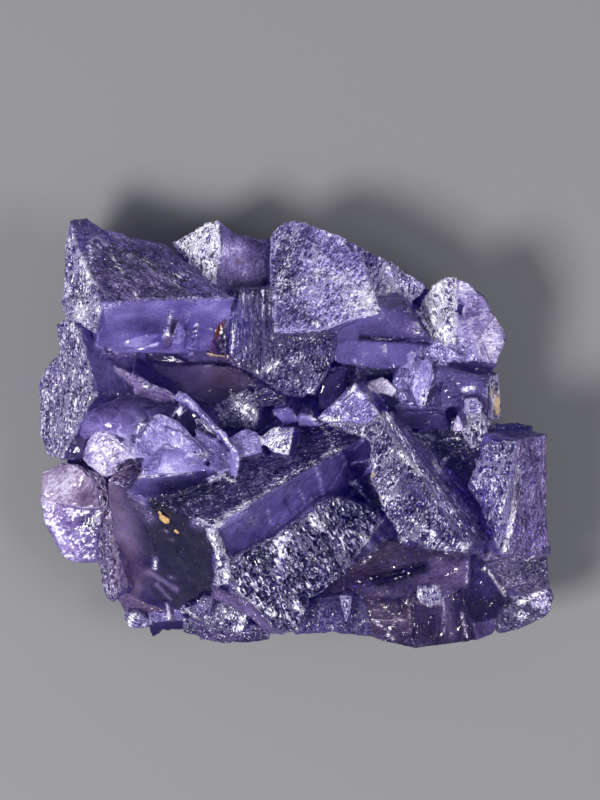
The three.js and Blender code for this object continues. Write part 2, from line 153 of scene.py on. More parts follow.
# What is known of each point of the skin, as the columns of one table: how rough its stepping is,
# how strongly it is ribbed and frosted, and how fine its pattern is, then the direction of its steps
# in degrees from +X, how thickly it is covered with silver flecks, which are white frost and painted
# glints, how milky it is, and how far its tint leans from violet to pink. All but the fineness and the
# direction run from 0 to 1.
STEPPED, RIBBED, FROSTED, FINE, TURN, FLECK_AND_GLINT, MILKY, PINK = range(8)

# How growth and etching left a face: the first four columns. Its pattern is finer than etched where
# the last number is over 1, and under 1 it is coarser, as on slabs that broke away in larger pieces.
FINISHES = {
    "glass": (0.0, 0.0, 0.05, 1.0),
    "dull": (0.06, 0.0, 0.3, 1.0),
    "satin": (0.35, 0.0, 0.65, 1.0),
    "frost": (0.35, 0.0, 0.75, 1.2),
    "steps": (1.0, 0.0, 1.0, 1.0),
    "slabs": (1.0, 0.0, 1.0, 0.6),
    "ribs": (0.25, 1.0, 0.7, 1.0),
}

# The crystals' faces: a point on the face and its slope, as in the solid, then the finish and the
# last four columns. The pink is left out where there is none.
FACES = (
    # the big middle cube: roof, dark left flank, right flank, and the bevel between the flanks
    ((-10.3, -11.4, 30), (0.03, -1), "frost", 28, 0.42, 0.12, 0.1),
    ((-10.3, -11.4, 30), (0.8965, 1.0269), "glass", 40, 0.03, 0.03, 0.25),
    ((-10.3, -11.4, 30), (-1.1138, 0.9666), "glass", 30, 0.05, 0.29),
    ((-11.4, -11.5, 29.7), (0.1, 0.95), "slabs", 95, 0.85, 0.3),
    # the stepped block on its right flank, the bars beside it and the foot of the left flank
    ((-9.4, -17.2, 25.4), (-0.36, 0.1), "slabs", 122, 0.67, 0.08),
    ((-10.3, -18.6, 24.3), (-0.15, 0.25), "dull", 140, 0.15, 0.28, 0.5),
    ((-14.2, -22, 18.2), (0.1, 0.4), "frost", 160, 0.3, 0.18, 0.4),
    ((-13.9, -21.8, 19.6), (0.15, 0.1), "steps", 60, 0.64, 0.1, 0.1),
    ((-13.2, -22.2, 21), (0.3, 0.3), "ribs", 65, 0.4, 0.3, 0.3),
    ((-16.8, -21.4, 14.3), (0.3, 0.6), "dull", 0, 0.5, 0.6),
    ((-15.4, -21.3, 15), (0.3, 0.6), "dull", 0, 0.5, 0.6),
    ((-22.8, -18.6, 10.8), (0.55, 0.3), "dull", 0, 0.08, 0.2, 0.8),
    ((-21.8, -22.8, 11.8), (0.5, 0.5), "steps", 150, 0.6, 0.3),
    ((-18.8, -23.8, 11.6), (0.2, 0.9), "glass", 0, 0.05, 0.05),
    ((-14.4, -23.4, 15.4), (0.2, 0.35), "frost", 10, 0.5, 0.1),
    # the right-hand rough cube, its ribbed flank and the pale crystal on its upper end
    ((20.8, -14.2, 29), (0.47, -0.07), "steps", 58, 0.78, 0.2),
    ((21.55, -13.2, 28.6), (0.43, -0.11), "ribs", 122, 0.68, 0.3),
    ((22.3, -13.2, 26.85), (0.43, -0.11), "ribs", 122, 0.6, 0.28, 0.1),
    ((23.05, -13.2, 25.1), (0.43, -0.11), "ribs", 122, 0.56, 0.28, 0.1),
    ((23.8, -13.2, 23.35), (0.43, -0.11), "ribs", 122, 0.6, 0.3, 0.1),
    ((24.55, -13.2, 21.6), (0.43, -0.11), "ribs", 122, 0.55, 0.25, 0.1),
    ((20, -10, 26.03), (-2.89, -2.2), "ribs", 128, 0.4, 0.15, 0.2),
    ((2.5, 2, 21.9), (0.3, 0.12), "satin", 45, 0.2, 0.42),
    # the long dark facet, the facets under it and the rough shoulder
    ((21, -14.4, 27.6), (0.35, 0.9), "dull", 30, 0.12, 0.1, 0.9),
    ((17.4, -15.4, 25.6), (0.2, 0.5), "dull", 30, 0.18, 0.12, 0.7),
    ((13.6, -17.4, 23.4), (0.25, 0.55), "dull", 20, 0.18, 0.12, 0.7),
    ((22.3, -15.1, 24.5), (-0.5, 0.15), "frost", 12, 0.46, 0.2, 0.6),
    # the right-hand block
    ((27.1, -0.9, 26.1), (-0.75, 0.15), "frost", 90, 0.34, 0.28, 0.5),
    ((27.2, -1.2, 25.9), (0.55, -0.02), "steps", 95, 0.76, 0.24),
    ((28.7, 0, 20.6), (0.1, -0.9), "steps", 0, 0.5, 0.05),
    # the pocket between the two
    ((13, 1.6, 17.8), (0.12, 0.1), "frost", 20, 0.45, 0.08),
    ((12.4, 2.5, 20.8), (-0.1, 0.5), "dull", 0, 0.2, 0.15),
    ((20.6, 3.9, 21.2), (-0.15, 0.3), "steps", 95, 0.9, 0.3),
    ((20.6, 3.9, 21.8), (-0.1, 0.3), "frost", 30, 0.7, 0.6),
    ((19, 0, 21.4), (0.5, 0.6), "dull", 0, 0.4, 0.9, 0.5),
    ((12.6, 0.2, 20.2), (-0.1, 0.1), "frost", 150, 0.5, 0.1),
    # the top middle cube, the shelf under it, the striped column and the apron
    ((-3.4, 24.6, 17.5), (0.06, -0.58), "satin", 60, 0.38, 0.78),
    ((6.8, 23.9, 18.4), (-0.35, -0.42), "steps", 80, 0.66, 0.75),
    ((2.6, 12.9, 23.7), (-0.14, 0.5), "glass", 0, 0.08, 0.22, 0.1),
    ((4.2, 12, 22.7), (-0.1, 0.12), "glass", 0, 0.08, 0.28),
    ((15.4, 10.6, 21.6), (-0.05, 0.35), "frost", 70, 0.35, 0.4),
    ((-8.5, 18, 19), (0.6, -0.05), "ribs", 88, 0.42, 0.15),
    ((-7.5, 17.6, 20.1), (0.3, -0.02), "ribs", 88, 0.46, 0.15),
    ((-6.35, 16.8, 20.8), (0.3, -0.02), "ribs", 88, 0.4, 0.15),
    ((-5.2, 16, 21.5), (0.3, -0.02), "ribs", 88, 0.44, 0.15),
    ((-4.05, 15.2, 22.2), (0.3, -0.02), "ribs", 88, 0.5, 0.2),
    ((-3.1, 13.4, 24.1), (0.06, 0.42), "steps", 65, 0.5, 0.15),
    ((3.2, 7.6, 20.2), (0.1, 0.3), "glass", 0, 0.05, 0.1),
    # the two crystals at the top left of the column
    ((-15.9, 23.7, 15.5), (0.3, -0.3), "steps", 75, 1.0, 0.9, 0.1),
    ((-9.6, 26.3, 16.4), (-0.15, -0.2), "dull", 88, 0.3, 0.34, 0.3),
    # the upper left cube: roof, two rough ends, glassy flank, and what stands on it
    ((-24, 16.2, 25), (-0.16, -0.98), "frost", 128, 0.42, 0.26, 0.35),
    ((-24, 16.4, 24.9), (1.2, -0.39), "steps", 100, 0.8, 0.5, 0.1),
    ((-23.8, 15.6, 24.6), (0.8, 0.3), "steps", 40, 0.8, 0.26),
    ((-24, 16.2, 25), (-0.222, 1.0567), "glass", 0, 0.05, 0.42),
    ((-16.4, 10.6, 18.4), (0.2, 0.5), "glass", 0, 0.2, 0.4),
    ((-22.2, 10.4, 18), (0, 0.45), "dull", 0, 0.15, 0.8),
    # the left-hand column, the hollow and the band
    ((-24.9, 4.7, 22.4), (1, 0.05), "steps", 84, 0.76, 0.36, 0.25),
    ((-22.6, 9.2, 14), (0.1, -0.12), "glass", 150, 0.0, 0.15, 0.4),
    ((-17, 9.5, 13.79), (0.12, 0.12), "dull", 0, 0.1, 0.16, 0.4),
    ((-25.4, 10, 19.8), (-0.16, 0.35), "dull", 150, 0.15, 0.5, 0.6),
    ((-20.4, 7.4, 19.2), (0.06, 0.55), "dull", 160, 0.15, 0.5, 0.5),
    # beside the dome: the strip under the column, the pale facet, the table and the blade
    ((-26.4, 0.8, 18.6), (0.3, 0.1), "glass", 0, 0.05, 0.15, 0.4),
    ((-26.9, -3.6, 19.2), (0.56, 0.14), "dull", 30, 0.4, 1.0, 0.35),
    ((-17, 2.6, 22.3), (0.07, -0.28), "dull", 120, 0.3, 0.75),
    ((-19, -5.1, 24.2), (0.02, -0.1), "glass", 0, 0.12, 0.6),
    ((-16, -7.7, 26.8), (0.07, -0.91), "glass", 20, 0.0, 0.3),
    ((-12.8, 0.6, 22.2), (0.1, -0.35), "dull", 140, 0.4, 0.55),
    ((-15.4, 4.2, 23.2), (0.06, -0.05), "glass", 135, 0.1, 0.52),
    ((-15.5, 1.9, 24), (0.2, 0.4), "dull", 0, 0.7, 1.0),
    ((-20, -0.5, 24.2), (0.3, 0.2), "dull", 0, 0.7, 1.0),
    ((-12.6, 1.6, 21.4), (0.3, 0.35), "steps", 135, 0.8, 0.2),
    # the chips along the top of the big roof
    ((-8.2, -0.4, 22.4), (0.1, -0.2), "dull", 20, 0.6, 0.5),
    ((-4.9, -0.6, 22.6), (0.2, -0.25), "frost", 50, 1.0, 0.7),
    ((-3.2, 2.6, 20.6), (0.2, 0.4), "glass", 0, 0.1, 0.4),
    ((0.4, 2.6, 20.9), (0, 0.4), "glass", 0, 0.1, 0.45),
    ((-10.4, 4, 17.4), (0.35, -0.1), "steps", 30, 0.75, 0.15),
    ((-5.6, 6.2, 19.2), (0.2, 0.3), "steps", 20, 0.35, 0.1),
    # the pale lobe and the strip beside it
    ((-32.3, -5.1, 12.6), (0.2, -0.14), "dull", 40, 0.03, 0.8, 1.0),
    ((-32.2, -8.6, 12.7), (0.16, 0.12), "dull", 40, 0.0, 0.5, 0.4),
    ((-26.4, -4.6, 17.4), (0.4, 0.2), "steps", 88, 0.54, 0.24, 0.5),
    # the upper right knob and the blocks under it
    ((14.2, 12.8, 18.2), (0.5, -0.25), "steps", 125, 1.0, 1.0, 0.3),
    ((20, 18.9, 20.4), (-0.35, -0.1), "dull", 0, 0.08, 0.72, 0.3),
    ((24.7, 14.8, 18.8), (-0.7, 0.1), "dull", 0, 0.15, 0.7, 0.4),
    ((19.6, 12.8, 20.8), (-0.2, 0.25), "frost", 60, 0.35, 0.6, 0.1),
    ((18, 10.4, 20.6), (-0.1, 0.7), "dull", 0, 0.3, 0.14, 0.2),
    ((15, 10.8, 20.6), (0.05, 0.2), "frost", 60, 0.45, 0.6),
    ((17.2, 8.3, 21), (0.02, 0.2), "dull", 20, 0.2, 0.2, 0.1),
    ((23.8, 6.4, 17.8), (-0.6, 0.1), "frost", 95, 0.6, 0.6, 0.2),
    ((14, 5.6, 20.9), (0.3, -0.1), "dull", 70, 0.1, 0.66),
    ((15.7, 3.2, 20.6), (0.05, -0.06), "dull", 80, 0.14, 0.14),
    ((9, 6.3, 20.8), (-0.1, 0.2), "dull", 40, 0.55, 1.0, 0.8),
    ((9.2, 4.8, 19.4), (0.1, 0.3), "frost", 160, 0.3, 0.3),
    ((6.4, 8.4, 18), (0.1, 0.35), "steps", 8, 0.35, 0.1),
    # the bottom right corner
    ((21, -15.2, 24.6), (0.1, 0.5), "dull", 70, 0.12, 0.04, 0.6),
    ((15, -18.9, 23.8), (0.1, 0.35), "steps", 80, 0.85, 0.3),
    ((2.4, -20.6, 18.6), (-0.1, 0.4), "frost", 85, 0.36, 0.16),
    ((5, -20.2, 20), (0.3, 0.35), "frost", 95, 0.6, 0.36, 0.1),
    ((8, -20.2, 18.6), (0.1, 0.35), "dull", 170, 0.24, 0.1, 0.8),
    ((9.2, -21.6, 19.6), (0.2, 0.5), "dull", 170, 0.32, 0.1, 1.0),
    ((13.4, -19.6, 19.4), (0.1, 0.4), "dull", 85, 0.14, 0.1, 0.8),
    ((18, -19.8, 19.8), (0.1, 0.4), "dull", 85, 0.12, 0.06, 0.7),
    ((21.2, -21.8, 18.8), (-0.1, 0.3), "glass", 0, 0.1, 0.2, 0.4),
    ((25, -20.6, 18.2), (-0.25, 0.3), "frost", 165, 0.5, 0.1, 0.3),
)

# The smooth dome: its middle and half sizes, in the frame, in mm, and its finish as above.
DOME_MIDDLE = np.array([-22.2, 1.1, 12.0]) + LAYOUT_ZERO
DOME_HALF = np.array([6.7, 4.7, 9.8])
DOME_FINISH = ("glass", 30, 0.0, 0.5, 0.1)

# Where a face isn't even: a stretch on the layout's plan, from one point to another, and its reach
# in mm, then what it adds to the flecks, the milkiness and, if any, the pink there.
PATCHES = (
    # soft veils and clear places, and some painted shade, as marked below
    ((-22.8, -6), (-20.6, -19), 2.2, 0.0, 0.24, 0.7),
    ((-18.6, -22.6), (-15, -22.8), 1.4, 0.1, 0.05, 0.2),
    ((-9, 6.6), (-8, 8), 3.0, 0.0, 0.08, 0.6),
    ((6.8, 15.8), (9.2, 15.6), 1.5, 0.2, 0.4),
    ((3.6, 19), (7.4, 20), 2.2, -0.35, 0.2),
    ((-1.6, 24), (-1.4, 19), 2.4, 0.3, -0.35),
    ((-1.5, 18), (0.6, 14.6), 2.6, 0.15, -0.25),
    ((-18, -4.3), (-14.5, -3.8), 1.0, 0.1, 0.4),
    # painted shadow: clearer, and so darker, along the line where a slab overhangs the big roof
    ((-16, -7), (-11, -6.2), 1.5, 0.0, -0.25),
    # painted shade and light on the dome: its top, under the band, clearer and so darker, and its lower
    # right milkier and so paler
    ((-24, 3.4), (-19, 4.4), 1.6, 0.0, -0.2, 0.1),
    ((-21.6, -0.4), (-17.6, 0.6), 1.6, 0.0, 0.2),
    ((-23.6, -1.6), (-23, -4.6), 1.3, 0.3, 0.4, 0.3),
    ((-21.2, -4.2), (-19.9, -4.6), 0.9, -0.3, 0.05, 0.9),
    ((24.6, 9.4), (25.4, 10.6), 1.2, 0.0, 0.3),
    ((-30.5, -5.4), (-30, -8), 1.8, 0.0, 0.0, 0.4),
    ((2.6, 1.9), (4.8, 1.7), 0.6, 0.8, 0.5, 0.3),
    ((5, 3.6), (5.4, 3.2), 0.7, 0.6, 0.4, 0.1),
    ((-20, 15), (-7, 15.2), 1.0, 0.0, 0.15),
    ((-21, 13.2), (-10, 12.6), 1.0, 0.0, -0.15),
    ((-16.3, 10.8), (-15, 13.8), 0.45, 0.0, -0.25, 0.9),
    ((14.8, 12.8), (15.6, 13.6), 0.8, 0.6, 0.4, 0.3),
    ((24.6, 2.4), (24.5, 5.8), 0.7, 0.8, 0.3, 0.2),
    ((30, -20.8), (30.8, -21.6), 0.9, 0.4, 0.6, 0.2),
    ((9.2, -22), (12.4, -22.6), 1.2, 0.1, 0.08, 0.6),
    ((0.2, 1), (2.4, 2.4), 0.5, 0.1, 0.4),
    ((14, -10), (19, -13), 2.0, -0.22, -0.1),
    ((13.4, -5.4), (15, -7.4), 0.9, -0.5, 0.05),
    # dark seams
    ((8, 11.8), (16.8, 11.1), 0.4, 0.0, -0.2),
    ((10, -18.3), (15.6, -16.5), 0.5, -0.4, -0.4),
    ((-19.3, -0.2), (-18.8, 0.9), 0.25, -1.0, -0.6),
    # broken white ridges
    ((-12.4, -11), (-9.6, -10.9), 0.6, 0.8, 0.4),
    ((-10, -11), (-6.5, -8.9), 0.55, 0.55, 0.3),
    ((-6.5, -8.9), (-1.9, -5.8), 0.55, 0.45, 0.25),
    ((-1.9, -5.8), (6, -1.5), 0.4, 0.4, 0.15),
    # lines across the big cube's right flank
    ((2.2, -4.5), (3.3, -8.2), 0.25, 0.3, 0.3),
    ((6.6, -6.2), (9.1, -8.7), 0.24, 0.7, 0.3),
    ((6.9, -3.8), (9.1, -3.4), 0.22, 0.7, 0.3),
    ((-3.6, -9.6), (-3.2, -11), 0.22, 0.5, 0.2),
    ((-1.7, -8), (-0.8, -9.8), 0.24, 0.0, -0.12),
    ((0.2, -7.4), (0.9, -8.6), 0.22, 0.5, 0.2),
    ((6, -3), (8.6, -9), 1.5, 0.0, -0.25),
    # slashes on the upper left roof
    ((-23.2, 22.6), (-22.4, 21.2), 0.2, 0.6, 0.2),
    ((-22.3, 20.6), (-21.5, 19.9), 0.32, 1.0, 0.5),
    ((-25.6, 23.9), (-24.3, 23.2), 0.2, 0.6, 0.2),
    ((-26.9, 22), (-24.5, 17.8), 0.22, 0.7, 0.2),
    ((-15.7, 19.5), (-14.6, 18.1), 0.2, 0.3, 0.1),
    ((-20.2, 17.4), (-19.6, 16.7), 0.2, 0.5, 0.2),
    ((-18.3, 20.6), (-18, 19.9), 0.2, 0.4, 0.1),
    ((-17.1, 18.3), (-16.7, 17.8), 0.2, 0.3, 0.1),
    # thin bright rims of the splinters round the dome, then other bright edges, the last two of them
    # painted highlights
    ((-20, -0.8), (-19.2, 1.1), 0.2, 0.8, 0.4),
    ((-19.2, 1.2), (-18.4, 1.1), 0.2, 0.9, 0.5),
    ((-18.4, 1.1), (-18.7, 0.2), 0.2, 0.7, 0.4),
    ((-15.6, 1.9), (-14.9, 2.9), 0.2, 0.9, 0.5),
    ((-14.9, 2.9), (-14.1, 2.8), 0.2, 0.9, 0.5),
    ((-14.1, 2.8), (-14.6, 1.8), 0.2, 0.9, 0.5),
    ((-15.5, 3.9), (-14.9, 4.7), 0.22, 0.7, 0.4),
    ((-14.9, 4.7), (-12.6, 3), 0.22, 0.7, 0.4),
    ((-12.6, 3), (-8.6, -1.4), 0.22, 0.5, 0.3),
    ((-19.3, -5.3), (-12.8, -4.8), 0.2, 0.8, 0.4),
    ((-27, 13), (-25.6, 23), 0.7, 0.5, 0.1),
    ((-25, 24.2), (-14, 19.2), 0.5, 0.35, 0.0),
    ((-24, 15.4), (-21.8, 16), 0.4, 0.6, 0.1),
    ((-13, 16.4), (-6, 16.9), 0.4, 0.35, 0.1),
    ((-15, 9), (-7, 7.8), 0.25, 0.5, 0.1),
    ((27.2, -4), (26.6, -9.6), 0.3, 0.5, 0.0),
    ((26.6, -9.6), (25.6, -14.4), 0.35, 1.0, 0.4),
    ((23.1, -16.4), (25.8, -20), 0.28, 0.9, 0.3),
    ((2, 3), (9, -9), 0.4, 0.3, 0.1),
    ((9.2, 3.2), (10, 2.2), 0.3, 0.8, 0.2),
    ((12.8, -2.4), (15.2, -5), 0.3, 0.6, 0.1),
    ((11, -8), (19.4, -15), 0.5, 0.3, 0.1),
    ((-7.6, 6), (-2.4, 8.6), 0.5, 0.45, 0.0),
    ((-10.6, -12.6), (-9.4, -14), 0.45, 1.0, 0.4),
    ((-8.8, -14.6), (-8.7, -18), 0.45, 1.0, 0.4),
    ((-8, -18.9), (-5, -21), 0.5, 0.9, 0.2),
    ((-9, -22), (-6.6, -23.6), 0.8, 0.6, 0.2),
    ((-14.2, -22), (-12.4, -23), 0.3, 0.9, 0.3),
    ((-18.6, -17.4), (-15, -19.5), 0.35, 0.0, 0.3, 0.3),
    ((-17.6, -19), (-15.8, -20.8), 0.3, 0.0, 0.25, 0.3),
    ((-10.3, 0.9), (-7.6, -2), 0.3, 0.8, 0.3),
    ((-8.6, -5.9), (-7.8, -6.1), 0.25, 0.7, 0.2),
    ((-7.8, -6.1), (-7.2, -3), 0.25, 0.6, 0.2),
    ((-19, 5.8), (-17.8, 5.7), 0.3, 0.8, 0.3),
    # painted highlights on the ridges of a stepped block
    ((-7.2, 3.4), (-5.2, 2), 0.45, 0.9, 0.2),
    ((-8.4, 5), (-7.4, 4.7), 0.4, 0.9, 0.2),
    # edges in the dark bottom right corner
    ((21, -15.8), (20.8, -19), 0.2, 0.5, 0.25),
    ((25.6, -19.6), (28, -21.6), 0.28, 0.7, 0.3),
    ((31.2, -19.7), (25.8, -22.3), 0.3, 0.4, 0.3, 0.2),
    ((8.2, -23.6), (13.4, -23.4), 0.2, 0.5, 0.2, 0.8),
    ((10, -23.6), (12, -25.8), 0.2, 0.6, 0.2),
    ((13.9, -20.8), (14.2, -24.8), 0.2, 0.45, 0.2, 0.3),
    ((18.1, -20.9), (18.2, -25), 0.2, 0.45, 0.2),
    ((18.6, -21), (19.2, -25.4), 0.7, 0.0, 0.14),
    ((20.5, -22.4), (21.1, -25.4), 0.2, 0.6, 0.3),
    ((14.3, -21), (17.6, -21.4), 0.2, 0.4, 0.2, 0.5),
    ((27.2, -22.8), (29.8, -23.4), 0.5, 0.4, 0.1),
    ((21.4, -16.2), (23.4, -19.4), 0.9, -0.1, 0.06, -0.3),
    ((17.2, -16), (20, -16.6), 1.0, 0.0, 0.12),
    # single bright chips and slashes, and among them two painted highlights, as marked
    ((-19.2, -8.4), (-18.2, -10.4), 0.8, 0.45, 0.2),
    ((-17.7, -15.8), (-17.7, -16.9), 0.3, 1.0, 0.5),
    ((-15.9, -17.9), (-15.4, -18.1), 0.25, 0.7, 0.2),
    ((-15.8, -13.3), (-15.5, -13.4), 0.25, 0.5, 0.1),
    ((-16.4, -21.6), (-16.1, -23.6), 0.25, 1.0, 0.4),
    ((-14.2, -22.8), (-14.3, -23.5), 0.25, 0.8, 0.3),
    ((-22, -23.4), (-21.2, -24.4), 0.3, 1.0, 0.4),
    ((-20.5, -22.8), (-21, -24), 0.3, 1.0, 0.4),
    ((-15.5, 15.2), (-16.1, 12.6), 0.24, 0.9, 0.4),
    ((-13.2, 15), (-13.6, 14), 0.2, 0.7, 0.3),
    ((-12.4, 13.4), (-13.3, 10), 0.28, 1.0, 0.5),
    ((-9.4, 22.6), (-7.4, 23), 0.9, 0.05, 0.5),
    ((-16.4, 12.3), (-16, 12.3), 0.3, 1.0, 0.5),
    ((-19.6, 10.7), (-19.2, 10.6), 0.35, 1.0, 0.5),
    ((-23.7, 10.4), (-23.3, 10.4), 0.3, 0.9, 0.4),
    ((-8.1, 10), (-7.7, 13.5), 0.22, 0.7, 0.2),
    # painted highlights: a white dot and a white spot where glints shine below the dome
    ((-18.8, -4.7), (-18.6, -4.5), 0.3, 1.0, 0.5),
    ((-22.6, -4.8), (-22.2, -4.3), 0.35, 1.0, 0.5),
    ((-12.9, -2.6), (-11.2, -2.3), 0.3, 0.8, 0.5),
    ((-10.6, -5.6), (-9.2, -5.4), 0.4, 1.0, 0.4),
    ((-1.4, -12.7), (-2.1, -13.8), 0.6, 1.0, 0.6),
    ((-1.7, -15.4), (-2.2, -17.4), 0.65, 0.9, 0.5),
    ((2.1, -10.4), (2.9, -11.7), 0.5, 1.0, 0.5),
    ((3, -9.3), (3.6, -10.2), 0.35, 0.9, 0.3),
    ((8.2, -12.4), (9.2, -14.4), 0.4, 0.6, 0.2),
    ((7.9, -16.4), (8.9, -15.3), 0.3, 0.8, 0.2),
    ((0, -21), (0.5, -22.2), 0.4, 0.9, 0.3),
    ((-3.6, -21.4), (-3.1, -22.3), 0.4, 0.9, 0.3),
    ((20.2, -13.9), (20.6, -14.1), 0.5, 1.0, 0.6),
    ((22.1, -14.6), (22.3, -14.6), 0.3, 1.0, 0.4),
    ((13.1, -13.1), (13.3, -13.1), 0.3, 1.0, 0.4),
    ((9.2, -3.4), (9.6, -4.6), 0.35, 1.0, 0.4),
    ((8.3, 0.1), (8, -1), 0.25, 0.7, 0.2),
    ((11, 1.8), (11.4, 2), 0.35, 1.0, 0.3),
    ((14.9, -4.8), (15.1, -4.9), 0.3, 1.0, 0.4),
    ((17.1, -3.7), (17.5, -4.6), 0.35, 1.0, 0.5),
    ((18.6, -3.2), (18, -3.9), 0.25, 0.7, 0.2),
    ((7, -6.2), (8, -7), 0.25, 0.8, 0.2),
    ((5.2, -8.2), (5.8, -9.2), 0.25, 0.6, 0.2),
    ((9.8, 15.5), (9.9, 14.8), 0.3, 1.0, 0.4),
    ((2.4, 13.7), (2.6, 13.4), 0.4, 0.7, 0.2),
    ((7.2, 5.9), (6.6, 4.9), 0.35, 1.0, 0.4),
    ((7.8, 4.9), (8.1, 4.5), 0.3, 1.0, 0.4),
    ((7.9, 8.4), (8.1, 8.4), 0.35, 1.0, 0.3),
    ((7.1, 8.9), (7.3, 8.9), 0.25, 0.9, 0.3),
    ((0, 6.5), (0.2, 6.3), 0.35, 0.8, 0.2),
    ((1.8, 5.4), (1.9, 4.9), 0.35, 0.8, 0.2),
    ((25.9, 11.2), (25.4, 8.9), 0.35, 0.8, 0.6),
    ((15.9, 5.1), (15.4, 3.5), 0.35, 1.0, 0.6),
    ((20.5, 5.2), (21.7, 5.5), 0.3, 1.0, 0.5),
    ((13.4, 6.6), (13.6, 7), 0.3, 0.8, 0.3),
)

